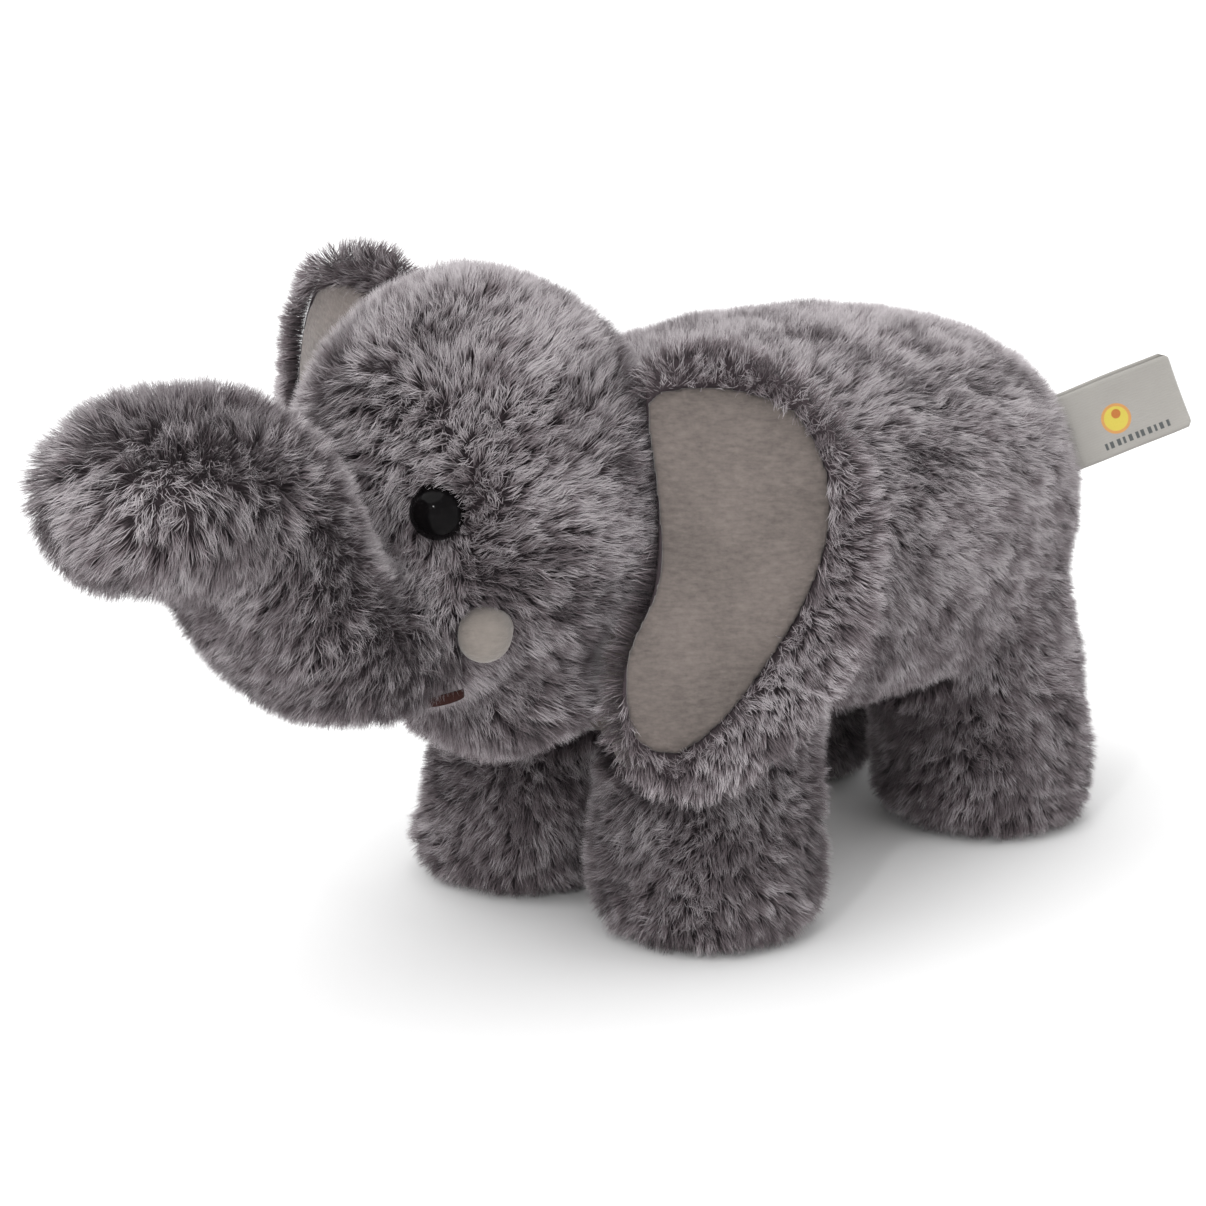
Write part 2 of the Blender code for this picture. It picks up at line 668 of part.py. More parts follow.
def build_eye(side, head_fill):
    mirror = 1 if side == "left" else -1
    place = Vector((mirror * EYE_PLACE.x, EYE_PLACE.y, EYE_PLACE.z))
    normal = unit(Vector([(place[i] - HEAD_CENTRE[i]) / HEAD_HALF[i] ** 2 for i in range(3)]))
    reach = 1 / sqrt(sum(((place[i] - HEAD_CENTRE[i]) / HEAD_HALF[i]) ** 2 for i in range(3)))
    surface = HEAD_CENTRE + (place - HEAD_CENTRE) * reach
    base = aimed(surface - normal * EYE_SINK, normal)
    steps = 5
    dome = [(EYE_RADIUS * sin(k * pi / 2 / steps), EYE_HEIGHT * cos(k * pi / 2 / steps)) for k in range(steps + 1)]
    shoulder = [(EYE_RADIUS - 0.0004, -0.0003), (POST_RADIUS, -0.0003)]
    foot = [(POST_RADIUS, -POST_LENGTH), (0, -POST_LENGTH)]
    eye = add_object("eye_" + side, turned_mesh("eye_" + side, dome + shoulder + foot, 16), black_plastic())
    eye.matrix_basis = base
    low, high = -WASHER_DEPTH - WASHER_THICKNESS, -WASHER_DEPTH
    washer = ring_mesh("eye_washer_" + side, WASHER_RADIUS, WASHER_HOLE, low, high, 16)
    add_object("eye_washer_" + side, washer, white_plastic()).matrix_basis = base
    hole = ring_cutter("post_hole_" + side, POST_RADIUS + GAP, -0.02, 0.002, base)
    recess = ring_cutter("eye_recess_" + side, EYE_RADIUS + GAP, -2 * GAP, 0.006, base)
    pocket_radius = WASHER_RADIUS + GAP
    pocket = ring_cutter("washer_pocket_" + side, pocket_radius, -POST_LENGTH - GAP, 0.002, base)
    for panel in ("head_side_" + side, "head_gusset"):
        cut(bpy.data.objects[panel], hole, "post_" + side)
        cut(bpy.data.objects[panel], recess, "recess_" + side)
    cut(head_fill, pocket, "pocket_" + side)


def ring_cutter(name, radius, low, high, base):
    mesh = turned_mesh(name, ((0, high), (radius, high), (radius, low), (0, low)), 16)
    made = guide(name, mesh)
    made.matrix_basis = base
    return made


def build_tusk(side, cutters):
    mirror = 1 if side == "left" else -1
    aim = unit(Vector((mirror * TUSK_AIM.x, TUSK_AIM.y, TUSK_AIM.z)))
    place = Vector((mirror * TUSK_PLACE.x, TUSK_PLACE.y, TUSK_PLACE.z))
    base = aimed(place, aim)
    steps = 4
    straight = TUSK_LENGTH - TUSK_RADIUS

    def rings(inset):
        radius = TUSK_RADIUS - inset
        dome = [(radius * sin(k * pi / 2 / steps), straight + radius * cos(k * pi / 2 / steps))
                for k in range(1, steps + 1)]
        return dome + [(radius, -TUSK_SINK)]

    sides = 14
    outer, inner = rings(0.0), rings(TUSK_COVER)
    points = []
    for ring in (outer, inner):
        for radius, height in ring:
            points += [Vector((radius * cos(2 * pi * k / sides), radius * sin(2 * pi * k / sides), height))
                       for k in range(sides)]
    cover = add_object("tusk_cover_" + side, cup_mesh("tusk_cover_" + side, points, len(outer), sides), tusk_minky())
    profile = [(0, straight + TUSK_RADIUS - TUSK_COVER - GAP)] + rings(TUSK_COVER + FILL_GAP) + [(0, -TUSK_SINK)]
    fill = add_object("tusk_fill_" + side, turned_mesh("tusk_fill_" + side, profile, sides), fibre())
    for piece in (cover, fill):
        piece.matrix_basis = base
        for cutter in cutters:
            cut(piece, cutter, "seat")


def build_mouth_stitch(side):
    """One bar tack of thread at a corner of the mouth."""
    name = "mouth_stitch_" + side
    mirror = 1 if side == "left" else -1
    curve = bpy.data.curves.new(name, "CURVE")
    curve.dimensions = "3D"
    curve.bevel_depth = STITCH_RADIUS
    curve.bevel_resolution = 2
    curve.use_fill_caps = True
    spline = curve.splines.new("POLY")
    spline.points.add(STITCH_POINTS - 1)
    for k, point in enumerate(spline.points):
        share = 2 * k / (STITCH_POINTS - 1) - 1
        spot = MOUTH_PLACE + MOUTH_REACH * share + Vector((0, 0, MOUTH_SMILE * share ** 2))
        point.co = (mirror * spot.x, spot.y, spot.z, 1)
    made = bpy.data.objects.new(name, curve)
    curve.materials.append(red_thread())
    link_to_frame(made)


def build_tail():
    """A slim sewn tube that hangs from a round end, which turns in a hollow of the rump."""
    start = catmull(TAIL_POINTS, 0.0)
    onward = (catmull(TAIL_POINTS, 0.02) - start).normalized()
    across = Vector((0, -onward.y, onward.x))
    rings = []
    for degrees in (65, 32):
        angle = radians(degrees)
        spot = start - onward * TAIL_RADIUS * sin(angle)
        rings.append((Vector((0, spot.x, spot.y)), across, TAIL_RADIUS * cos(angle)))
    for k in range(TAIL_RINGS):
        share = k / (TAIL_RINGS - 1)
        spot = catmull(TAIL_POINTS, share)
        ahead = catmull(TAIL_POINTS, min(share + 0.02, 1.0)) - catmull(TAIL_POINTS, max(share - 0.02, 0.0))
        across = Vector((0, -ahead.y, ahead.x)).normalized()
        radius = TAIL_RADIUS + (TAIL_TIP_RADIUS - TAIL_RADIUS) * share
        rings.append((Vector((0, spot.x, spot.y)), across, radius))
    top = start - onward * TAIL_RADIUS

    def tail_point(index, degrees, inset):
        centre, across, radius = rings[index]
        angle = radians(degrees)
        return centre + Vector((cos(angle) * (radius - inset), 0, 0)) + across * sin(angle) * (radius - inset)

    pole = Vector((0, top.x, top.y))
    mesh = solid_mesh("tail", tail_point, list(range(len(rings))), TAIL_SIDES, 0.0, pole)
    tail = add_object("tail", mesh, fur())
    hang(tail, empty("tail_hinge", TAIL_HINGE, bpy.data.objects["elephant_frame"]))
    reach = TAIL_RADIUS + TAIL_GAP
    steps = 8
    ball = [(reach * sin(pi * k / steps), reach * cos(pi * k / steps)) for k in range(steps + 1)]
    socket = guide("tail_socket", turned_mesh("tail_socket", ball, 20))
    socket.location = TAIL_HINGE
    for side in ("left", "right"):
        cut(bpy.data.objects["side_panel_" + side], socket, "tail_socket")


def build_label(torso_envelope):
    """A strip folded back on itself, its two ends together in the seam."""
    aim, edge = unit(LABEL_AIM), LABEL_EDGE
    edge = unit(edge - aim * edge.dot(aim))
    face = aim.cross(edge)
    outer, inner = LABEL_LOOP + LABEL_LEAF, LABEL_LOOP
    fold = LABEL_LENGTH - outer

    def path(half):
        line = [(0.0, half * 0.35), (LABEL_LENGTH * 0.3, half * 0.7), (fold, half)]
        arc = [(fold + half * sin(a), half * cos(a)) for a in (pi / 4, pi / 2, 3 * pi / 4)]
        return line + arc + [(fold, -half), (LABEL_LENGTH * 0.3, -half * 0.7), (0.0, -half * 0.35)]

    outline = path(outer) + list(reversed(path(inner)))
    points = []
    for across in (-LABEL_WIDTH / 2, LABEL_WIDTH / 2):
        points += [LABEL_ROOT + aim * along + face * height + edge * across for along, height in outline]
    size = len(outline)
    faces = [(k, (k + 1) % size, size + (k + 1) % size, size + k) for k in range(size)]
    half = size // 2
    for k in range(half - 1):
        a, b = k, k + 1
        c, d = size - 2 - k, size - 1 - k
        faces.append((a, b, c, d))
        faces.append((size + a, size + d, size + c, size + b))
    label = add_object("sewn_label", mesh_of("sewn_label", points, faces), satin())
    cut(label, torso_envelope, "seam")
    place = LABEL_ROOT + aim * LABEL_SUNK
    hang(label, empty("label_hinge", place, bpy.data.objects["elephant_frame"]))


def main():
    clear_scene()
    empty("elephant_frame", STAND)
    torso = build_torso()
    head, head_fill = build_head(torso)
    trunk = build_trunk(head)
    build_chin((head, torso, trunk))
    for side in ("left", "right"):
        for pair in LEG_PAIRS:
            build_leg(pair, side, torso)
        build_ear(side)
        build_eye(side, head_fill)
        build_tusk(side, (head, trunk))
        build_mouth_stitch(side)
    build_tail()
    build_label(torso)


main()
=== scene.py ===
"""Looks of a standing plush elephant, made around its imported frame.

The frame's nodes give every size and place. Stuffed forms are remeshed copies of them, drawn in by part of
the pile's length, and the pile itself is grown on those forms as fine bent blades.
"""

from math import cos, pi, radians, sin

import bmesh
import bpy
import numpy as np
from bpy.props import FloatProperty, FloatVectorProperty, PointerProperty
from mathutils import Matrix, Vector, noise
from mathutils.bvhtree import BVHTree


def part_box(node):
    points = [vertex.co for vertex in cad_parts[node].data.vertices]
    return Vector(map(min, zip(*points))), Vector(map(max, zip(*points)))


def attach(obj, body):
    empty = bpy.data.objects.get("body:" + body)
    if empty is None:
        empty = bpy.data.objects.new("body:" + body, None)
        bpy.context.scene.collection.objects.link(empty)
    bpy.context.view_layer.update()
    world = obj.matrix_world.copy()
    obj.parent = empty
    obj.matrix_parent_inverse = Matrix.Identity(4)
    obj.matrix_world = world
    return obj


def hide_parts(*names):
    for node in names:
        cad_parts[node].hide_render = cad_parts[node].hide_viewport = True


bl_info = {
    "name": "Plush elephant",
    "version": (1, 0, 0),
    "blender": (4, 5, 0),
    "location": "3D View > Sidebar > Plush",
    "description": "Makes the fur, linings, trim and studio of a plush elephant",
    "category": "Object",
}

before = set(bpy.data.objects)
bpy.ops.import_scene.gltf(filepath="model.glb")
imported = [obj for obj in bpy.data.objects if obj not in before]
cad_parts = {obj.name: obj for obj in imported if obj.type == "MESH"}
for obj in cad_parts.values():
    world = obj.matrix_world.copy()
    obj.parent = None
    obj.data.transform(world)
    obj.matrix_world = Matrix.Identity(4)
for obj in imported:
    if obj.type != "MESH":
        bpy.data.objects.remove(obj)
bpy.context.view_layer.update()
NOISE_SEED = 7
SIDES = ("left", "right")
LEGS = tuple(f"{pair}_leg_{side}" for pair in ("front", "hind") for side in SIDES)
FUR_NODES = (
    "side_panel_left", "side_panel_right", "head_side_left", "head_side_right", "head_gusset",
    "trunk_side_left", "trunk_side_right", "trunk_gusset", "chin_panel",
) + tuple(f"{leg}_cover" for leg in LEGS)
PLAIN_NODES = ("belly_panel",) + tuple(f"{leg}_sole" for leg in LEGS)
FILL_NODES = ("body_fill", "head_fill", "trunk_fill", "chin_fill") + tuple(f"{leg}_fill" for leg in LEGS)


# ---------------------------------------------------------------- settings

def length_setting(name, description, default):
    return FloatProperty(name=name, description=description, default=default, unit="LENGTH")


def number_setting(name, description, default):
    return FloatProperty(name=name, description=description, default=default)


def angle_setting(name, description, default):
    return FloatProperty(name=name, description=description, default=radians(default), subtype="ANGLE")


def colour_setting(name, description, *default):
    return FloatVectorProperty(name=name, description=description, default=default, subtype="COLOR")


class PileSettings(bpy.types.PropertyGroup):
    length: length_setting("Pile length", "Length of a fibre on the body", 0.0084)
    width: length_setting("Fibre width", "Width of a blade at its widest", 0.00020)
    density: number_setting("Fibres per square metre", "How many blades grow on the cloth", 7.4e6)
    lean: number_setting("Lean", "How far the pile lies over, 0 upright and 2 nearly flat", 0.40)
    tuft_density: number_setting("Tufts per square metre", "How many tufts the pile gathers into", 3.0e5)
    tuft_pull: number_setting("Tuft pull", "How strongly tips gather into their tuft, 0 to 1", 0.60)
    inset: length_setting("Inset", "How far the backing lies under the frame's surface", 0.0031)
    root: colour_setting("Root colour", "Colour at the roots", 0.060, 0.045, 0.051)
    middle: colour_setting("Middle colour", "Colour half way up", 0.170, 0.140, 0.150)
    tip: colour_setting("Tip colour", "Colour at the frosted tips", 0.52, 0.485, 0.50)


class MinkySettings(bpy.types.PropertyGroup):
    colour: colour_setting("Minky colour", "Colour of the smooth cloth", 0.150, 0.127, 0.116)
    tusk_colour: colour_setting("Tusk colour", "Colour of the tusks' cloth", 0.215, 0.190, 0.170)


class TrimSettings(bpy.types.PropertyGroup):
    label_colour: colour_setting("Label colour", "Colour of the satin tape", 0.37, 0.355, 0.33)
    spot_border: colour_setting("Spot border", "Ring round the printed spot", 0.58, 0.27, 0.06)
    spot_colour: colour_setting("Spot colour", "Printed spot", 0.58, 0.50, 0.07)
    pip_colour: colour_setting("Pip colour", "Dot in the printed spot", 0.42, 0.09, 0.02)
    label_width: length_setting("Label width", "Width of the tape", 0.0205)
    label_leaf: length_setting("Label leaf", "Length of one leaf, seam to fold", 0.0350)
    thread_colour: colour_setting("Mouth thread colour", "Colour of the bar tacks", 0.040, 0.010, 0.007)


class StudioSettings(bpy.types.PropertyGroup):
    azimuth: angle_setting("Azimuth", "Camera turned from straight ahead of the face", 41)
    elevation: angle_setting("Elevation", "Camera above the horizon", 14)
    distance: length_setting("Distance", "Camera to its aim", 0.68)
    aim: FloatVectorProperty(
        name="Aim", description="Point in the middle of the picture", default=(-0.0280, 0.0321, 0.0618),
        subtype="TRANSLATION")
    lens: number_setting("Lens", "Focal length in millimetres", 77.5)


# ---------------------------------------------------------------- mesh helpers

def frame_mesh(*names):
    """One welded bmesh of copies of frame nodes, faces outwards."""
    work = bmesh.new()
    for name in names:
        work.from_mesh(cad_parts[name].data)
    bmesh.ops.remove_doubles(work, verts=work.verts, dist=1e-6)
    return work


def bmesh_of(mesh):
    work = bmesh.new()
    work.from_mesh(mesh)
    return work


def mesh_of(name, work):
    """A new mesh of a bmesh, which is then freed."""
    mesh = bpy.data.meshes.new(name)
    work.to_mesh(mesh)
    work.free()
    return mesh


def covers_with_fills(covers, fills, swell):
    """One bmesh of cover nodes and their fills, swelled to close the gap between the two."""
    work = frame_mesh(*covers)
    inner = frame_mesh(*fills)
    inner.normal_update()
    for vert in inner.verts:
        vert.co += vert.normal * swell
    spare = mesh_of("fills", inner)
    work.from_mesh(spare)
    bpy.data.meshes.remove(spare)
    return work


def surface_of(node):
    """A tree of a frame node's surface, for the nearest point on it and for rays."""
    work = frame_mesh(node)
    tree = BVHTree.FromBMesh(work)
    work.free()
    return tree


def object_of(name, mesh):
    made = bpy.data.objects.new(name, mesh)
    bpy.context.scene.collection.objects.link(made)
    return made


def applied(obj):
    """The evaluated mesh of an object, which is then removed."""
    graph = bpy.context.evaluated_depsgraph_get()
    mesh = bpy.data.meshes.new_from_object(obj.evaluated_get(graph), depsgraph=graph)
    mesh.name = obj.name
    old = obj.data
    bpy.data.objects.remove(obj)
    bpy.data.meshes.remove(old)
    return mesh


def thickened(mesh, thickness, offset):
    """The mesh as a cloth with a thickness, and still without a material."""
    obj = object_of(mesh.name, mesh)
    step = obj.modifiers.new("thickness", "SOLIDIFY")
    step.thickness = thickness
    step.offset = offset
    made = applied(obj)
    made.materials.clear()
    return made


def coordinates(mesh):
    found = np.empty(len(mesh.vertices) * 3, np.float32)
    mesh.vertices.foreach_get("co", found)
    return found.reshape(-1, 3).astype(np.float64)


def place_vertices(mesh, points):
    mesh.vertices.foreach_set("co", np.ascontiguousarray(points, np.float32).reshape(-1))
    mesh.update()


def normals(mesh):
    found = np.empty(len(mesh.vertices) * 3, np.float32)
    mesh.vertex_normals.foreach_get("vector", found)
    return found.reshape(-1, 3).astype(np.float64)


def relax(mesh, rounds, share=0.5):
    """Moves each vertex towards the mean of its neighbours."""
    ends = np.empty(len(mesh.edges) * 2, np.int32)
    mesh.edges.foreach_get("vertices", ends)
    a, b = ends.reshape(-1, 2).T
    count = len(mesh.vertices)
    degree = np.maximum(np.bincount(a, minlength=count) + np.bincount(b, minlength=count), 1)
    points = coordinates(mesh)
    for _ in range(rounds):
        mean = np.stack([
            np.bincount(a, weights=points[b, axis], minlength=count)
            + np.bincount(b, weights=points[a, axis], minlength=count) for axis in range(3)], 1)
        points += (mean / degree[:, None] - points) * share
    place_vertices(mesh, points)


def largest_island(mesh):
    """Deletes every loose piece but the largest."""
    work = bmesh_of(mesh)
    left = set(work.verts)
    islands = []
    while left:
        stack = [left.pop()]
        island = set(stack)
        while stack:
            for edge in stack.pop().link_edges:
                for vert in edge.verts:
                    if vert in left:
                        left.remove(vert)
                        island.add(vert)
                        stack.append(vert)
        islands.append(island)
    keep = max(islands, key=len)
    bmesh.ops.delete(work, geom=[v for v in work.verts if v not in keep], context="VERTS")
    work.to_mesh(mesh)
    work.free()


def remeshed(name, work, size, rounds):
    """An even, smoothed skin round everything in a bmesh, in one piece."""
    obj = object_of(name, mesh_of(name, work))
    step = obj.modifiers.new("voxels", "REMESH")
    step.mode = "VOXEL"
    step.voxel_size = size
    mesh = applied(obj)
    largest_island(mesh)
    relax(mesh, rounds)
    return mesh


def drawn_in(mesh, distance):
    """Moves the surface in along its normals, and returns its new points and normals."""
    points = coordinates(mesh) - normals(mesh) * distance
    place_vertices(mesh, points)
    return points, normals(mesh)


def finished(name, mesh, material):
    """A smooth object of a mesh, in one material."""
    mesh.materials.append(material)
    mesh.shade_smooth()
    obj = object_of(name, mesh)
    obj.name = name
    return obj


def store(mesh, name, values, kind="FLOAT"):
    layer = mesh.attributes.new(name, kind, "POINT")
    flat = np.ascontiguousarray(values, np.float32).reshape(-1)
    layer.data.foreach_set("vector" if kind == "FLOAT_VECTOR" else "value", flat)


def unit_rows(rows):
    return rows / np.maximum(np.linalg.norm(rows, axis=1, keepdims=True), 1e-9)


def along_surface(rows, normal):
    """The rows without the part of them that points off the surface."""
    return rows - normal * np.sum(rows * normal, axis=1, keepdims=True)


def smooth_step(values, low, high):
    t = np.clip((values - low) / (high - low), 0, 1)
    return t * t * (3 - 2 * t)


def middle(node):
    low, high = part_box(node)
    return (low + high) / 2


def faces_part(mesh, chosen, name):
    """A new mesh of the chosen polygons, with the vertex attributes kept."""
    work = bmesh_of(mesh)
    work.faces.ensure_lookup_table()
    drop = [face for face, keep in zip(work.faces, chosen) if not keep]
    bmesh.ops.delete(work, geom=drop, context="FACES")
    return mesh_of(name, work)


# ---------------------------------------------------------------- shader helpers

def fill_sockets(tree, node, sockets):
    """Links or sets the inputs of a node, each named by its label or, as i0, i1 and so on, by its number."""
    for key, value in sockets.items():
        numbered = key[0] == "i" and key[1:].isdigit()
        slot = node.inputs[int(key[1:]) if numbered else key.replace("_", " ")]
        if isinstance(value, Value):
            value = value.socket
        if isinstance(value, bpy.types.NodeSocket):
            tree.links.new(value, slot)
        else:
            slot.default_value = value


class Value:
    """A number socket that arithmetic can be written on."""

    def __init__(self, tree, socket):
        self.tree = tree
        self.socket = socket

    def math(self, operation, *others):
        node = self.tree.nodes.new("ShaderNodeMath")
        node.operation = operation
        fill_sockets(self.tree, node, {f"i{index}": item for index, item in enumerate((self, *others))})
        return Value(self.tree, node.outputs[0])

    def __add__(self, other):
        return self.math("ADD", other)

    __radd__ = __add__

    def __mul__(self, other):
        return self.math("MULTIPLY", other)

    __rmul__ = __mul__

    def __sub__(self, other):
        return self.math("SUBTRACT", other)

    def __rsub__(self, other):
        return (self * -1).math("ADD", other)

    def clamped(self):
        return self.math("MAXIMUM", 0.0).math("MINIMUM", 1.0)


class Finish:
    """A Principled material whose nodes are added one call at a time."""

    def __init__(self, name, roughness, **constants):
        self.material = bpy.data.materials.new(name)
        self.material.use_nodes = True
        self.tree = self.material.node_tree
        self.shader = self.tree.nodes["Principled BSDF"]
        self.shader.inputs["Roughness"].default_value = roughness
        for socket, value in constants.items():
            self.shader.inputs[socket.replace("_", " ")].default_value = value

    def node(self, kind, settings=None, **sockets):
        """Adds a node: its settings first, then the values or links of its sockets."""
        node = self.tree.nodes.new(kind)
        for key, value in (settings or {}).items():
            if key == "stops":
                ramp = node.color_ramp.elements
                while len(ramp) < len(value):
                    ramp.new(0.5)
                for element, (place, colour) in zip(ramp, value):
                    element.position = place
                    element.color = (*colour, 1) if len(colour) == 3 else colour
            else:
                setattr(node, key, value)
        fill_sockets(self.tree, node, sockets)
        return node

    def value(self, kind, settings=None, output=0, **sockets):
        return Value(self.tree, self.node(kind, settings, **sockets).outputs[output])

    def attribute(self, name):
        return self.value("ShaderNodeAttribute", {"attribute_name": name}, output="Fac")

    def place(self):
        return self.node("ShaderNodeTexCoord").outputs["Object"]

    def noise(self, scale, detail=2.0, roughness=0.5, stretch=None):
        vector = self.place()
        if stretch is not None:
            vector = self.node("ShaderNodeMapping", None, Vector=vector, Scale=stretch).outputs[0]
        return self.value(
            "ShaderNodeTexNoise", None, output="Fac", Vector=vector, Scale=scale, Detail=detail,
            Roughness=roughness)

    def mix(self, factor, first, second):
        """Mixes two colours, each a socket or three numbers."""
        first, second = (
            item if isinstance(item, bpy.types.NodeSocket) else (*item, 1) for item in (first, second))
        return self.node("ShaderNodeMix", {"data_type": "RGBA"}, i0=factor, i6=first, i7=second).outputs[2]

    def colour(self, socket):
        self.tree.links.new(socket, self.shader.inputs["Base Color"])

    def roughness(self, value):
        self.tree.links.new(value.socket, self.shader.inputs["Roughness"])

    def bump(self, height, distance, strength=1.0):
        node = self.node("ShaderNodeBump", None, Height=height, Distance=distance, Strength=strength)
        self.tree.links.new(node.outputs[0], self.shader.inputs["Normal"])


def fur_finish():
    """Dark roots and frosted tips. Whole tufts are lighter or darker, and so are soft patches of the pile.
    Painted light makes pile that faces up or sits high lighter, and painted shade makes pile low down darker.
    """
    pile = bpy.context.scene.plush_pile
    finish = Finish("frosted_fur", 0.85, Specular_IOR_Level=0.15, Sheen_Weight=0.10, Sheen_Roughness=0.6)
    rise = finish.attribute("rise")
    tone = finish.attribute("tone")
    tuft = finish.attribute("tuft")
    frost = finish.attribute("frost")
    patch = finish.noise(95, 2, 0.5)
    # The frost term is partly painted light: lighter where the pile faces up or sits high, and painted shade
    # where it sits low.
    shade = (tone - 0.5) * 0.05 + (tuft - 0.5) * 0.20 + (patch - 0.5) * 0.60 + (frost - 1.0) * 0.9
    light = rise + shade
    ramp = finish.node(
        "ShaderNodeValToRGB",
        {"stops": (
            (0.0, tuple(pile.root)), (0.34, tuple(c * 0.58 for c in pile.middle)),
            (0.62, tuple(pile.middle)), (0.92, tuple(pile.tip)))},
        Fac=light.clamped())
    finish.colour(ramp.outputs[0])
    return finish.material


def backing_finish():
    """Knitted backing seen between the roots."""
    pile = bpy.context.scene.plush_pile
    finish = Finish("fur_backing", 0.95, Specular_IOR_Level=0.1)
    knit = finish.noise(900, 1)
    base = tuple(c * 1.2 for c in pile.root)
    finish.colour(finish.mix(knit, base, tuple(c * 0.5 for c in pile.middle)))
    return finish.material


def minky_finish(name, colour, strength=1.0):
    """Short brushed nap lying in fine slanting rows, with soft patches where it has been stroked."""
    finish = Finish(name, 0.9, Specular_IOR_Level=0.2, Sheen_Weight=0.30, Sheen_Roughness=0.5)
    rows = finish.noise(1000, 2, 0.6, (0.35, 0.35, 1.0))
    speckle = finish.noise(900, 2, 0.65)
    stroke = finish.noise(38, 3, 0.6)
    light = (stroke * 0.42 + rows * 0.40 + speckle * 0.18).clamped()
    darker = tuple(c * (1 - 0.42 * strength) for c in colour)
    lighter = tuple(min(1.0, c * (1 + 0.38 * strength)) for c in colour)
    finish.colour(finish.mix(((light - 0.30) * 2.5).clamped(), darker, lighter))
    finish.bump(rows * 0.6 + speckle * 0.4, 0.0007, 0.7)
    return finish.material


def eye_finish():
    finish = Finish("black_eye", 0.08, Specular_IOR_Level=0.07, IOR=1.45)
    wear = finish.noise(260, 4, 0.6)
    finish.colour(finish.mix(wear, (0.0015, 0.0015, 0.002), (0.006, 0.005, 0.005)))
    finish.roughness(wear * 0.08 + 0.04)
    return finish.material


def thread_finish():
    trim = bpy.context.scene.plush_trim
    finish = Finish("mouth_thread", 0.7, Specular_IOR_Level=0.2)
    strand = finish.noise(2200, 2)
    dark = tuple(c * 0.45 for c in trim.thread_colour)
    finish.colour(finish.mix(strand, dark, tuple(trim.thread_colour)))
    finish.bump(strand, 0.0002)
    return finish.material


# Places on the tape: along it from its first end, then across it from its middle.
SPOT_PLACE = (0.0160, -0.0010)
SPOT_RADIUS = 0.0034
SPOT_RING = 0.0008
PIP_PLACE = (0.0164, 0.0002)
PIP_RADIUS = 0.0014
DASH_COLOUR = (0.035, 0.045, 0.05)


def satin_finish():
    """Printed tape: fine ribs along its length, faint soiling, a plain round spot and a row of dashes."""
    trim = bpy.context.scene.plush_trim
    finish = Finish("label_satin", 0.45, Specular_IOR_Level=0.35, Sheen_Weight=0.1)
    uv = finish.node("ShaderNodeUVMap", {"uv_map": "tape"}).outputs[0]
    parts = finish.node("ShaderNodeSeparateXYZ", None, Vector=uv)
    along = Value(finish.tree, parts.outputs[0])
    across = Value(finish.tree, parts.outputs[1])
    ribs = (across * 9000).math("SINE") * 0.5 + 0.5
    weft = (along * 7000).math("SINE") * 0.5 + 0.5
    cloud = finish.noise(120, 3)
    dark = tuple(c * 0.80 for c in trim.label_colour)
    cloth = finish.mix((cloud * 0.85 + ribs * 0.15).clamped(), dark, tuple(trim.label_colour))
    printed = cloth
    for place, reach, colour, ink in (
        (SPOT_PLACE, SPOT_RADIUS + SPOT_RING, trim.spot_border, 0.9),
        (SPOT_PLACE, SPOT_RADIUS, trim.spot_colour, 0.9),
        (PIP_PLACE, PIP_RADIUS, trim.pip_colour, 0.85),
    ):
        x = along - place[0]
        y = across - place[1]
        inside = (reach - (x * x + y * y).math("SQRT")) * 4000
        printed = finish.mix(inside.clamped() * ink, printed, colour)
    dashes = (along * 3600).math("SINE") + (along * 2210).math("SINE") * 0.6 + 0.25
    bar = (0.0010 - (across + 0.0072).math("ABSOLUTE")) * 5000
    ends = (0.0095 - (along - 0.0195).math("ABSOLUTE")) * 3000
    line = bar.clamped() * ends.clamped() * (dashes * 3).clamped() * 0.85
    finish.colour(finish.mix(line, printed, DASH_COLOUR))
    finish.bump(ribs * 0.6 + weft * 0.4, 0.00006, 0.6)
    return finish.material


def washer_finish():
    finish = Finish("white_washer", 0.5)
    cloud = finish.noise(400, 2)
    finish.colour(finish.mix(cloud, (0.62, 0.62, 0.60), (0.75, 0.75, 0.73)))
    return finish.material


def shared(make, *values):
    """A material is made once and used by every piece of its finish."""
    key = values[0] if values else make.__name__
    if key not in shared.made:
        shared.made[key] = make(*values)
    return shared.made[key]


shared.made = {}


def minky():
    return shared(minky_finish, "smooth_minky", tuple(bpy.context.scene.plush_minky.colour))


# ---------------------------------------------------------------- geometry nodes

# How far up each kind of blade is widest, and how far it bows out there.
BLADE_BENDS = ((0.52, 0.10), (0.60, 0.16), (0.45, 0.05))
BLADE_FLOOR = 0.0003


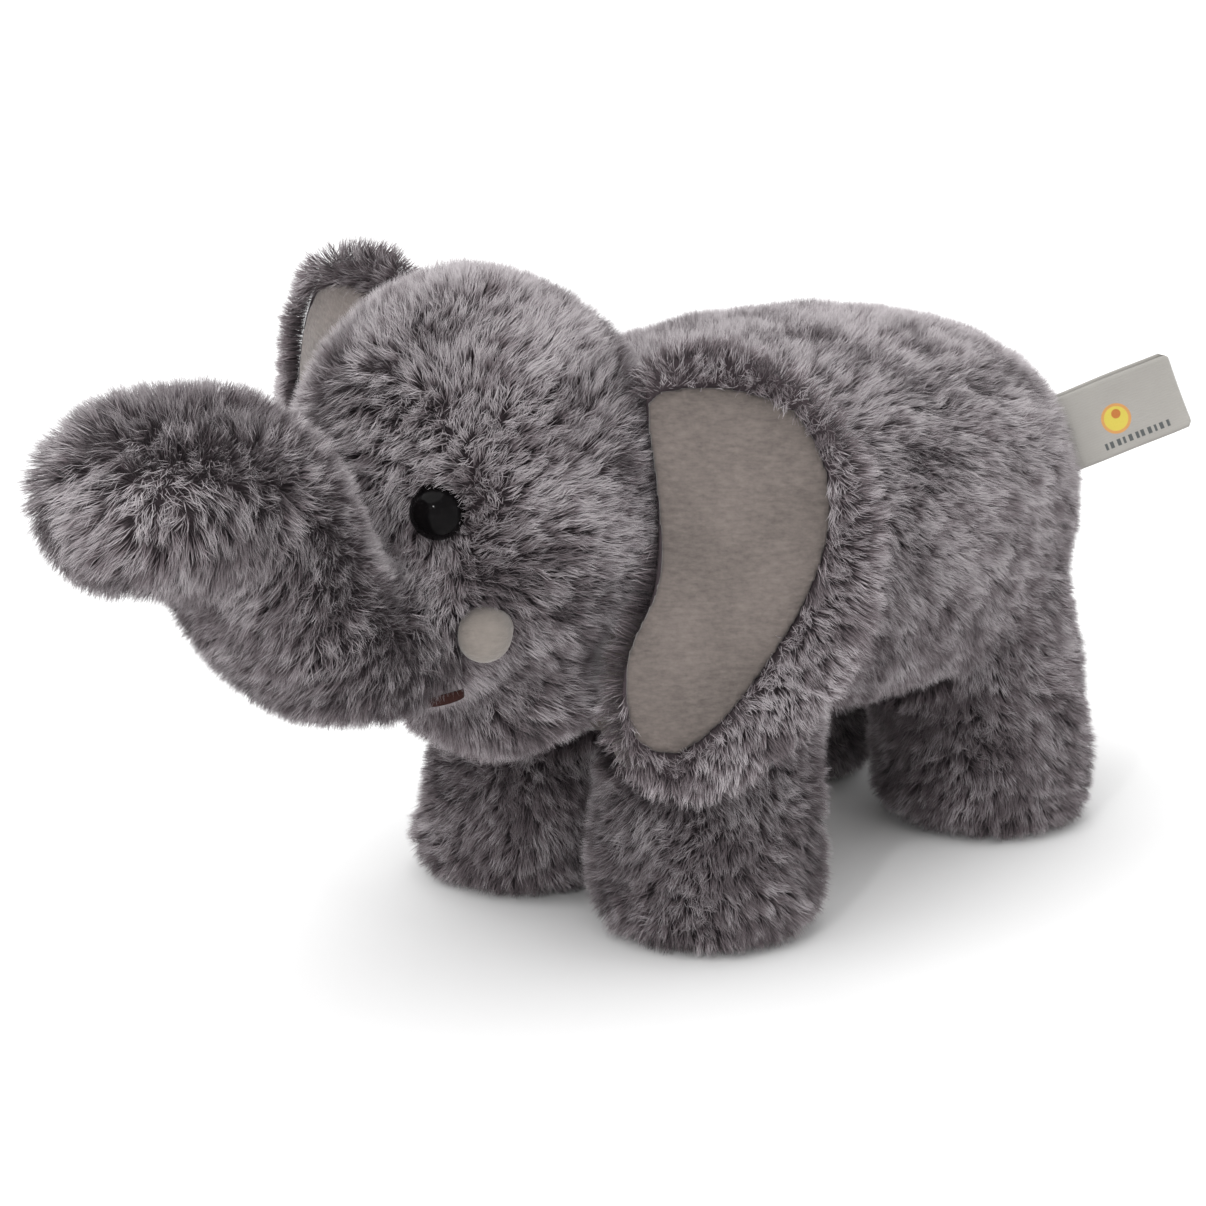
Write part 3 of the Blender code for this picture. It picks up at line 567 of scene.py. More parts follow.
class Tree:
    """A Geometry Nodes tree written in calls: sockets link by name or number."""

    def __init__(self, name, inputs):
        self.tree = bpy.data.node_groups.new(name, "GeometryNodeTree")
        face = self.tree.interface
        face.new_socket("Geometry", in_out="OUTPUT", socket_type="NodeSocketGeometry")
        face.new_socket("Geometry", in_out="INPUT", socket_type="NodeSocketGeometry")
        self.identifiers = {}
        for key, kind in inputs:
            self.identifiers[key] = face.new_socket(key, in_out="INPUT", socket_type=kind).identifier
        self.source = self.tree.nodes.new("NodeGroupInput")
        self.sink = self.tree.nodes.new("NodeGroupOutput")

    def input(self, name):
        return self.source.outputs[name]

    def add(self, kind, settings=None, **sockets):
        node = self.tree.nodes.new(kind)
        for key, value in (settings or {}).items():
            setattr(node, key, value)
        fill_sockets(self.tree, node, sockets)
        return node

    def vector(self, operation, first, second=None, scale=None):
        sockets = {"i0": first}
        if second is not None:
            sockets["i1"] = second
        if scale is not None:
            sockets["Scale"] = scale
        return self.add("ShaderNodeVectorMath", {"operation": operation}, **sockets).outputs[0]

    def number(self, operation, first, second):
        return self.add("ShaderNodeMath", {"operation": operation}, i0=first, i1=second).outputs[0]

    def random(self, low, high, seed, **sockets):
        """A random number for each element between two limits."""
        return self.add(
            "FunctionNodeRandomValue", {"data_type": "FLOAT"}, i2=low, i3=high, Seed=seed,
            **sockets).outputs[1]

    def scatter(self, mesh, density, seed):
        return self.add(
            "GeometryNodeDistributePointsOnFaces", {"distribute_method": "RANDOM"},
            Mesh=mesh, Density=density, Seed=seed)

    def named(self, name, kind="FLOAT"):
        return self.add("GeometryNodeInputNamedAttribute", {"data_type": kind}, Name=name).outputs[0]

    def keep(self, geometry, name, value, kind="FLOAT", domain="POINT"):
        """The geometry with a value stored on it under a name."""
        return self.add(
            "GeometryNodeStoreNamedAttribute", {"data_type": kind, "domain": domain}, Geometry=geometry,
            Name=name, Value=value).outputs[0]

    def modifier(self, obj, values):
        step = obj.modifiers.new(self.tree.name, "NODES")
        step.node_group = self.tree
        for key, value in values.items():
            step[self.identifiers[key]] = value
        return step


def pile_tree():
    """Grows blades on a cloth: each leans with the lay of its pile and towards the tip of its tuft."""
    numbers = ("Density", "Tuft Density", "Length", "Width", "Lean", "Tuft Pull", "Floor")
    tree = Tree("grow_pile", (
        ("Blades", "NodeSocketCollection"), *((name, "NodeSocketFloat") for name in numbers),
        ("Seed", "NodeSocketInt"), ("Material", "NodeSocketMaterial")))
    seed = tree.input("Seed")
    cloth = tree.input("Geometry")
    position = tree.add("GeometryNodeInputPosition").outputs[0]

    def own_seed(number):
        return tree.number("ADD", seed, number)

    def aim(normal, spread_seed, spread):
        lay = tree.vector("SCALE", tree.named("lay", "FLOAT_VECTOR"), scale=tree.input("Lean"))
        stray = tree.add(
            "FunctionNodeRandomValue", {"data_type": "FLOAT_VECTOR"}, Min=(-spread,) * 3, Max=(spread,) * 3,
            Seed=own_seed(spread_seed)).outputs[0]
        return tree.vector("NORMALIZE", tree.vector("ADD", tree.vector("ADD", normal, lay), stray))

    def tip(direction, length):
        return tree.vector("ADD", position, tree.vector("SCALE", direction, scale=length))

    roots = tree.scatter(cloth, tree.number("MULTIPLY", tree.named("cover"), tree.input("Density")), seed)
    tufts = tree.scatter(cloth, tree.input("Tuft Density"), own_seed(17))
    pile_length = tree.number("MULTIPLY", tree.named("pile"), tree.input("Length"))

    # Each tuft has a tip of its own, and each blade knows the tip and the tone of the tuft nearest to it.
    tuft_length = tree.number("MULTIPLY", pile_length, tree.random(0.90, 1.05, 31))
    tuft_tip = tip(aim(tufts.outputs["Normal"], 5, 0.60), tuft_length)
    tipped = tree.keep(tufts.outputs["Points"], "tuft_tip", tuft_tip, "FLOAT_VECTOR")
    nearest = tree.add("GeometryNodeSampleNearest", {"domain": "POINT"}, Geometry=tipped).outputs[0]
    sampled = tree.add(
        "GeometryNodeSampleIndex", {"data_type": "FLOAT_VECTOR", "domain": "POINT"}, Geometry=tipped,
        Value=tree.named("tuft_tip", "FLOAT_VECTOR"), Index=nearest).outputs[0]
    tuft_tone = tree.random(0.0, 1.0, own_seed(41), ID=nearest)

    # A blade points from its root to a place between its own tip and its tuft's.
    length = tree.number("MULTIPLY", pile_length, tree.random(0.84, 1.04, own_seed(3)))
    own_tip = tip(aim(roots.outputs["Normal"], 7, 0.24), length)
    pull = tree.number("MULTIPLY", tree.random(0.35, 1.0, own_seed(9)), tree.input("Tuft Pull"))
    gathered = tree.add("ShaderNodeMix", {"data_type": "VECTOR"}, i0=pull, i4=own_tip, i5=sampled).outputs[1]
    turn = tree.add(
        "FunctionNodeAxesToRotation", {"primary_axis": "Z", "secondary_axis": "X"},
        i0=tree.vector("SUBTRACT", gathered, position), i1=roots.outputs["Normal"]).outputs[0]
    roll = tree.add("ShaderNodeCombineXYZ", None, Z=tree.random(-0.4, 0.4, own_seed(11))).outputs[0]
    rolled = tree.add("FunctionNodeRotateRotation", {"rotation_space": "LOCAL"}, i0=turn, i1=roll).outputs[0]
    scale = tree.add("ShaderNodeCombineXYZ", None, X=length, Y=tree.input("Width"), Z=length).outputs[0]
    blades = tree.add(
        "GeometryNodeCollectionInfo", {"transform_space": "ORIGINAL"}, Collection=tree.input("Blades"),
        Separate_Children=True, Reset_Children=True).outputs[0]
    choice = tree.add(
        "FunctionNodeRandomValue", {"data_type": "INT"}, i4=0, i5=len(BLADE_BENDS) - 1,
        Seed=own_seed(13)).outputs[2]
    grown = tree.add(
        "GeometryNodeInstanceOnPoints", None, Points=tree.keep(roots.outputs["Points"], "tuft", tuft_tone),
        Instance=blades, Pick_Instance=True, Instance_Index=choice, Rotation=rolled, Scale=scale).outputs[0]
    toned = tree.keep(grown, "tone", tree.random(0.0, 1.0, own_seed(23)), domain="INSTANCE")

    # No blade reaches under the floor.
    real = tree.add("GeometryNodeRealizeInstances", None, Geometry=toned).outputs[0]
    floor = tree.add("ShaderNodeCombineXYZ", None, X=-9.0, Y=-9.0, Z=tree.input("Floor")).outputs[0]
    kept = tree.add(
        "GeometryNodeSetPosition", None, Geometry=real, Position=tree.vector("MAXIMUM", position, floor))
    final = tree.add(
        "GeometryNodeSetMaterial", None, Geometry=kept.outputs[0], Material=tree.input("Material"))
    tree.tree.links.new(final.outputs[0], tree.sink.inputs[0])
    return tree


def blade_forms():
    """Bent blades, one unit long and wide: each a kite, folded across its shoulder."""
    box = bpy.data.collections.new("blade_forms")
    for index, (shoulder, bulge) in enumerate(BLADE_BENDS):
        mesh = bpy.data.meshes.new(f"blade_{index}")
        points = [(0, 0, 0), (bulge, 0.5, shoulder), (bulge, -0.5, shoulder), (0, 0, 1)]
        mesh.from_pydata(points, [], [(0, 1, 2), (2, 1, 3)])
        store(mesh, "rise", [p[2] for p in points])
        box.objects.link(bpy.data.objects.new(f"blade_{index}", mesh))
    return box


def grown_pile(name, cloth, body, seed, length=1.0, lean=1.0):
    """Pile on one cloth as a plain mesh that rides on its body."""
    pile = bpy.context.scene.plush_pile
    tree = shared(pile_tree)
    obj = object_of(name, cloth)
    tree.modifier(obj, {
        "Blades": shared(blade_forms), "Density": pile.density, "Tuft Density": pile.tuft_density,
        "Length": pile.length * length, "Width": pile.width, "Lean": pile.lean * lean,
        "Tuft Pull": pile.tuft_pull, "Floor": BLADE_FLOOR, "Seed": seed, "Material": shared(fur_finish)})
    made = object_of(name, applied(obj))
    made.name = name
    for layer in [a.name for a in made.data.attributes if a.name in ("lay", "pile", "cover")]:
        made.data.attributes.remove(made.data.attributes[layer])
    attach(made, body)
    return made


# ---------------------------------------------------------------- the stuffed body

FILL_SWELL = 0.0027
COARSE_VOXEL = 0.0034
SKIN_VOXEL = 0.0021
PRESSURE = 3.0
PRESSURE_CAP = 0.0016
PRESSURE_FRAMES = 20
SMOOTH_INSET = 0.0013
SEAM_WIDTH = 0.0014
SEAM_DEPTH = 0.0008
CLOTH_THICKNESS = 0.0009
MOST_BLADES = 92000
# Near each of these the pile is cut short: cleared out to the first distance, full length from the second
# on, and this share of its length in between.
TRIMMED = (
    ("eye", 0.0046, 0.0110, 0.66), ("tusk_cover", 0.0050, 0.0115, 0.42),
    ("mouth_stitch", 0.0006, 0.0060, 0.55),
)


def plumped(mesh, pressure, cap):
    """Inflates a closed form as cloth, and holds every point near where it was cut."""
    start = coordinates(mesh)
    obj = object_of(mesh.name, mesh)
    cloth = obj.modifiers.new("cloth", "CLOTH")
    cloth.settings.use_pressure = True
    cloth.settings.uniform_pressure_force = pressure
    cloth.settings.effector_weights.gravity = 0
    cloth.settings.quality = 5
    cloth.point_cache.frame_end = PRESSURE_FRAMES
    for frame_number in range(1, PRESSURE_FRAMES + 1):
        bpy.context.scene.frame_set(frame_number)
    made = applied(obj)
    bpy.context.scene.frame_set(1)
    moved = coordinates(made) - start
    reach = np.linalg.norm(moved, axis=1, keepdims=True)
    place_vertices(made, start + moved * np.minimum(1.0, cap / np.maximum(reach, 1e-9)))
    return made


def stuffed_form():
    """One closed skin round the torso, head, trunk, chin and legs, a little under the frame's surface."""
    work = covers_with_fills(FUR_NODES + PLAIN_NODES, FILL_NODES, FILL_SWELL)
    coarse = plumped(remeshed("stuffed_body", work, COARSE_VOXEL, 5), PRESSURE, PRESSURE_CAP)
    again = bmesh_of(coarse)
    bpy.data.meshes.remove(coarse)
    return remeshed("stuffed_body", again, SKIN_VOXEL, 8)


def gaps_to(points, names):
    """Distance from each point to each node."""
    found = np.empty((len(names), len(points)))
    for row, name in enumerate(names):
        surface = surface_of(name)
        found[row] = [surface.find_nearest(Vector(p))[3] for p in points]
    return found


def snap_to_seam(mesh, side):
    """Moves the vertices nearest the seam, where side is zero, onto it, so that it runs smoothly."""
    points = coordinates(mesh)
    snapped = side.copy()
    for edge in mesh.edges:
        a, b = edge.vertices
        if side[a] * side[b] >= 0 or snapped[a] == 0 or snapped[b] == 0:
            continue
        share = side[a] / (side[a] - side[b])
        here = points[a] * (1 - share) + points[b] * share
        near = a if share < 0.5 else b
        points[near] = here
        snapped[near] = 0
    place_vertices(mesh, points)
    return snapped


def drift(points, scale, seed):
    """Smooth random vectors over space, the same in every session."""
    noise.seed_set(NOISE_SEED)
    shift = Vector((seed * 7.31, seed * 3.17, seed * 1.73))
    return np.array([tuple(noise.noise_vector(Vector(p) * scale + shift)) for p in points])


def lay_of_pile(points, normal):
    """Which way the pile is brushed: off the face on the head, to the tip on the trunk, down on the body."""
    eye = (middle("eye_left") + middle("eye_right")) / 2
    face = np.array((eye.x, eye.y - 0.010, eye.z - 0.028))
    trunk_low, trunk_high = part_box("trunk_gusset")
    tip = np.array((eye.x, trunk_low.y, (trunk_low.z + trunk_high.z) / 2))
    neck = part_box("head_side_left")[1].y - 0.010
    down = np.array((0.0, 0.45, -1.0))
    radial = unit_rows(points - face)
    onward = unit_rows(tip - points)
    on_trunk = smooth_step(-points[:, 1], -(eye.y + 0.012), -(eye.y - 0.006))[:, None]
    on_head = (1 - smooth_step(points[:, 1], neck - 0.020, neck + 0.012))[:, None]
    leg_top = middle("belly_panel").z - 0.006
    on_legs = (1 - smooth_step(points[:, 2], leg_top - 0.030, leg_top))[:, None] * (1 - on_head)
    lay = down * (1 - on_head) + radial * on_head
    lay = lay * (1 - on_legs) + np.array((0.0, 0.1, -1.0)) * on_legs
    lay = lay * (1 - on_trunk) + (onward * 0.6 + np.array((0, 0, -0.6))) * on_trunk
    return along_surface(unit_rows(lay) + drift(points, 75, 1), normal)


def trimmed_round(points, pile, cover):
    """Shortens the pile round the eyes, tusks and mouth stitches, and clears what they cover."""
    for side in SIDES:
        for node, clear, full, least in TRIMMED:
            gap = np.linalg.norm(points - np.array(middle(f"{node}_{side}")), axis=1)
            pile *= least + (1 - least) * smooth_step(gap, clear, full)
            cover *= smooth_step(gap, clear * 0.75, clear)
    return pile, cover


def widened_chest(points):
    """How far the smooth panel spreads past its seam, between the neck and the front legs."""
    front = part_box("belly_panel")[0].y
    x, y, z = points.T
    across = 1 - smooth_step(np.abs(x), 0.030, 0.046)
    along = (1 - smooth_step(y, front + 0.006, front + 0.030)) * (y > front - 0.006)
    height = smooth_step(z, 0.030, 0.045) * (1 - smooth_step(z, 0.078, 0.095))
    return 0.020 * across * along * height


def frost_and_painted_light_of(points, normal):
    """How light the tips are: most on the back and crown, least low on the legs and under the trunk. Part is
    the pile's own frosting and part is painted light from above: pile that faces up is painted lighter, and
    pile low down is painted darker.
    """
    height = smooth_step(points[:, 2], 0.010, 0.105)
    up = smooth_step(normal[:, 2], -0.6, 0.9)
    return 0.80 + 0.12 * height + 0.14 * up


class PLUSH_OT_body(bpy.types.Operator):
    """Makes the stuffed body's backing, its smooth belly and soles, and its pile"""
    bl_idname = "plush.body"
    bl_label = "Body"

    def execute(self, context):
        mesh = stuffed_form()
        split = len(FUR_NODES)
        points = coordinates(mesh)
        gaps = gaps_to(points, FUR_NODES + PLAIN_NODES)
        side = snap_to_seam(mesh, gaps[:split].min(0) - gaps[split:].min(0) + widened_chest(points))
        self.draw_in(mesh, side, np.sort(gaps, axis=0), context.scene.plush_pile.inset)
        self.comb(mesh)
        region = self.regions(mesh, side, gaps, split)
        self.grow_all(context, mesh, region)
        for index, node in enumerate(PLAIN_NODES):
            self.lay_smooth_cloth(mesh, region == split + index, node)
        skin = finished("stuffed_body", mesh, shared(backing_finish))
        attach(skin, "torso")
        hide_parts(*FUR_NODES, *FILL_NODES)
        return {"FINISHED"}

    def draw_in(self, mesh, side, nearest, inset):
        """Brings the skin in under the pile, less under smooth cloth, and a little more along the seams."""
        furred = 1 - smooth_step(side, -0.0005, 0.0015)
        seam = np.exp(-(((nearest[1] - nearest[0]) / SEAM_WIDTH) ** 2)) * (nearest[0] < 0.006)
        depth = SMOOTH_INSET + furred * (inset - SMOOTH_INSET) + seam * SEAM_DEPTH
        points = coordinates(mesh) - normals(mesh) * depth[:, None]
        points[:, 2] = np.maximum(points[:, 2], 0.0005)
        place_vertices(mesh, points)
        relax(mesh, 2, 0.35)

    def comb(self, mesh):
        """Stores which way the pile lies, how long it is, how frosted it is with painted light from above,
        and where there is none.
        """
        points, normal = coordinates(mesh), normals(mesh)
        store(mesh, "lay", lay_of_pile(points, normal), "FLOAT_VECTOR")
        length, cover = trimmed_round(points, np.ones(len(points)), np.ones(len(points)))
        length *= 1 + 0.16 * drift(points, 110, 2)[:, 0]
        shorter_by_the_floor = 0.22 * (1 - smooth_step(points[:, 2], 0.002, 0.012))
        longer_on_the_trunk = 0.14 * (1 - smooth_step(points[:, 1], -0.150, -0.100))
        store(mesh, "pile", length * (1 - shorter_by_the_floor) * (1 + longer_on_the_trunk))
        store(mesh, "cover", cover)
        store(mesh, "frost", frost_and_painted_light_of(points, normal))

    def regions(self, mesh, side, gaps, split):
        """For each polygon, the cover node that it belongs to."""
        found = []
        for face in mesh.polygons:
            corners = list(face.vertices)
            plain = side[corners].sum() > 0
            rows = slice(split, None) if plain else slice(0, split)
            found.append(int(gaps[rows, corners].mean(1).argmin()) + (split if plain else 0))
        return np.array(found)

    def lay_smooth_cloth(self, mesh, chosen, node):
        """Smooth cloth over the chosen faces of the backing, with its own thickness."""
        name = f"{node}_cloth"
        cloth = thickened(faces_part(mesh, chosen, name), CLOTH_THICKNESS, 1.0)
        points = coordinates(cloth)
        points[:, 2] = np.maximum(points[:, 2], 0.0001)
        place_vertices(cloth, points)
        made = finished(name, cloth, minky())
        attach(made, "torso")
        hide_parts(node)

    def grow_all(self, context, mesh, region):
        """Grows the pile of each cover, cut across into parts where one piece would hold too many blades."""
        areas = np.array([face.area for face in mesh.polygons])
        centres = np.array([tuple(face.center) for face in mesh.polygons])
        seed = 100
        for index, node in enumerate(FUR_NODES):
            chosen = region == index
            count = areas[chosen].sum() * context.scene.plush_pile.density
            parts = int(np.ceil(count / MOST_BLADES))
            cuts = np.quantile(centres[chosen, 1], np.linspace(0, 1, parts + 1)) if parts > 1 else None
            for part in range(parts):
                here = chosen
                if parts > 1:
                    low = cuts[part] if part else -1.0
                    high = cuts[part + 1] if part < parts - 1 else 1.0
                    here = chosen & (centres[:, 1] >= low) & (centres[:, 1] < high)
                name = f"{node}_pile" + (f"_{part + 1}" if parts > 1 else "")
                seed += 1
                grown_pile(name, faces_part(mesh, here, name), "torso", seed)


# ---------------------------------------------------------------- ears and tail

class PLUSH_OT_ears(bpy.types.Operator):
    """Makes both ears: furred backs with a fur rim, and smooth linings"""
    bl_idname = "plush.ears"
    bl_label = "Ears"

    def execute(self, context):
        for index, side in enumerate(SIDES):
            back = self.make_back(side, 200 + index * 10)
            lining = self.make_lining(side)
            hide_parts(f"ear_back_{side}")
            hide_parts(f"ear_lining_{side}")
        return {"FINISHED"}

    def make_back(self, side, seed):
        """The ear's backing and its pile, which is parted where the lining lies over it."""
        work = frame_mesh(f"ear_back_{side}", f"ear_lining_{side}")
        mesh = remeshed(f"ear_back_{side}_cloth", work, 0.0014, 6)
        points, normal = drawn_in(mesh, 0.0012)
        lining = surface_of(f"ear_lining_{side}")
        gap = np.array([lining.find_nearest(Vector(p))[3] for p in points])
        outward = unit_rows(points - np.array(middle(f"ear_lining_{side}")))
        front = self.front_of(side)
        spread = (smooth_step(gap, 0.0004, 0.0050) * 0.9 + 0.1)[:, None]
        lay = outward * 0.9 * spread + np.array((0, 0.1, -0.15)) + drift(points, 90, 4) * 0.6
        store(mesh, "lay", along_surface(lay, normal), "FLOAT_VECTOR")
        store(mesh, "pile", 1 + 0.2 * drift(points, 110, 3)[:, 0])
        # Painted light: the ear's pile is painted lighter where its cloth faces up.
        store(mesh, "frost", 0.88 + 0.12 * smooth_step(normal[:, 2], -0.6, 0.9))
        away = Vector(front)
        under = np.array([
            lining.ray_cast(Vector(p) - away * 0.006, away, 0.020)[0] is not None for p in points])
        store(mesh, "cover", 1.0 - under * (normal @ front > 0.2))
        face_normals = np.array([tuple(face.normal) for face in mesh.polygons])
        backwards = face_normals @ front < 0
        for part, chosen in (("back", backwards), ("rim", ~backwards)):
            name = f"ear_{part}_{side}_pile"
            grown_pile(name, faces_part(mesh, chosen, name), f"{side}_ear", seed, length=0.86, lean=1.5)
            seed += 1
        cloth = finished(f"ear_cloth_{side}", mesh, shared(backing_finish))
        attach(cloth, f"{side}_ear")
        return cloth

    def front_of(self, side):
        """Which way the lining looks: the mean direction of its faces that lie clear of the cover."""
        cover = surface_of(f"ear_back_{side}")
        lining = frame_mesh(f"ear_lining_{side}")
        total = Vector()
        for face in lining.faces:
            spot = face.calc_center_median()
            if cover.find_nearest(spot + face.normal * 0.002)[3] > 0.003:
                total += face.normal * face.calc_area()
        lining.free()
        return np.array(total.normalized())

    def make_lining(self, side):
        """The smooth lining, with soft waves and two shallow creases across its upper half."""
        work = frame_mesh(f"ear_lining_{side}")
        mesh = remeshed(f"ear_lining_{side}_cloth", work, 0.0008, 4)
        points = coordinates(mesh)
        front = self.front_of(side)
        outer = np.cross((0.0, 0.0, 1.0), front)
        outer /= np.linalg.norm(outer)
        inner = np.array(middle(f"ear_lining_{side}"))
        across = (points - inner) @ outer
        height = points[:, 2] - inner[2]
        facing = smooth_step(normals(mesh) @ front, 0.0, 0.6)
        wave = 0.00045 * drift(points, 42, 6)[:, 0] + 0.0002 * drift(points, 95, 7)[:, 1]
        crease = np.zeros(len(points))
        for level, slope, depth in ((0.012, 0.22, 0.0008), (0.004, 0.12, 0.0004)):
            line = height - level - slope * across - 0.002 * np.sin(across * 190)
            crease += depth * np.exp(-(line / 0.0011) ** 2) * smooth_step(np.abs(across), 0.002, 0.010)
        points += front * ((0.0005 + wave - crease) * facing)[:, None]
        place_vertices(mesh, points)
        obj = finished(f"ear_lining_cloth_{side}", mesh, minky())
        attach(obj, f"{side}_ear")
        return obj


class PLUSH_OT_tail(bpy.types.Operator):
    """Makes the furred tail"""
    bl_idname = "plush.tail"
    bl_label = "Tail"

    def execute(self, context):
        mesh = remeshed("tail_cloth", frame_mesh("tail"), 0.0012, 4)
        points, normal = drawn_in(mesh, 0.0014)
        lay = along_surface(np.tile(np.array((0.0, 0.1, -1.0)), (len(points), 1)), normal)
        store(mesh, "lay", unit_rows(lay), "FLOAT_VECTOR")
        store(mesh, "pile", np.ones(len(points)))
        store(mesh, "cover", np.ones(len(points)))
        store(mesh, "frost", np.full(len(points), 0.8))
        whole = faces_part(mesh, [True] * len(mesh.polygons), "tail_pile")
        grown_pile("tail_pile", whole, "tail", 300, length=0.70)
        cloth = finished("tail_cloth", mesh, shared(backing_finish))
        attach(cloth, "tail")
        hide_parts("tail")
        return {"FINISHED"}


# ---------------------------------------------------------------- eyes, tusks, mouth, label

EYE_DOME = 0.0050
EYE_LIP = 0.0005
POST_RADIUS = 0.0016
EYE_SIDES = 48
TUSK_VOXEL = 0.0006
TUSK_SWELL = 0.0009
STRANDS = 7
STRAND_RADIUS = 0.00030
STRAND_STEPS = 14
STRAND_SIDES = 6
TAPE_THICKNESS = 0.00022
FOLD_RADIUS = 0.0009
FOLD_REACH = 0.0014
LEAF_STEPS = 34
TAPE_STEPS = 20


class PLUSH_OT_eyes(bpy.types.Operator):
    """Makes the domed plastic eyes, and finishes the washers behind them"""
    bl_idname = "plush.eyes"
    bl_label = "Eyes"

    def execute(self, context):
        for side in SIDES:
            eye = self.make_eye(side)
            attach(eye, "torso")
            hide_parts(f"eye_{side}")
            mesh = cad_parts[f"eye_washer_{side}"].data
            mesh.materials.clear()
            mesh.materials.append(shared(washer_finish))
        return {"FINISHED"}

    def make_eye(self, side):
        """A turned dome with a rolled rim and its post, on the axis of its frame node."""
        points = coordinates(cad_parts[f"eye_{side}"].data)
        washer = coordinates(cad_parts[f"eye_washer_{side}"].data).mean(0)
        axis = Vector(points.mean(0) - washer).normalized()
        along = (points - washer) @ np.array(axis)
        spread = np.linalg.norm((points - washer) - along[:, None] * np.array(axis), axis=1)
        radius, top, end = spread.max(), along.max(), along.min()
        base = top - EYE_DOME
        profile = [(radius * sin(a), base + EYE_DOME * cos(a)) for a in np.linspace(0.06, pi / 2, 22)]
        profile += [
            (radius + 0.00005, base - 0.0002), (radius - 0.0003, base - EYE_LIP),
            (POST_RADIUS, base - EYE_LIP), (POST_RADIUS, end), (POST_RADIUS - 0.0002, end)]
        turn = axis.to_track_quat("Z", "Y")
        work = bmesh.new()
        rings = []
        for r, height in profile:
            round_it = [2 * pi * k / EYE_SIDES for k in range(EYE_SIDES)]
            rings.append([
                work.verts.new(turn @ Vector((r * cos(a), r * sin(a), height)) + Vector(washer))
                for a in round_it])
        for a, b in zip(rings, rings[1:]):
            for k in range(EYE_SIDES):
                work.faces.new((a[k], b[k], b[(k + 1) % EYE_SIDES], a[(k + 1) % EYE_SIDES]))
        work.faces.new(rings[0])
        work.faces.new(list(reversed(rings[-1])))
        bmesh.ops.recalc_face_normals(work, faces=work.faces)
        name = f"eye_dome_{side}"
        return finished(name, mesh_of(name, work), shared(eye_finish))


class PLUSH_OT_tusks(bpy.types.Operator):
    """Makes the two stuffed tusks"""
    bl_idname = "plush.tusks"
    bl_label = "Tusks"

    def execute(self, context):
        colour = tuple(context.scene.plush_minky.tusk_colour)
        for side in SIDES:
            name = f"tusk_{side}"
            work = covers_with_fills([f"tusk_cover_{side}"], [f"tusk_fill_{side}"], TUSK_SWELL)
            mesh = remeshed(name, work, TUSK_VOXEL, 8)
            obj = finished(name, mesh, shared(minky_finish, "tusk_minky", colour, 0.5))
            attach(obj, "torso")
            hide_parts(f"tusk_cover_{side}", f"tusk_fill_{side}")
        return {"FINISHED"}


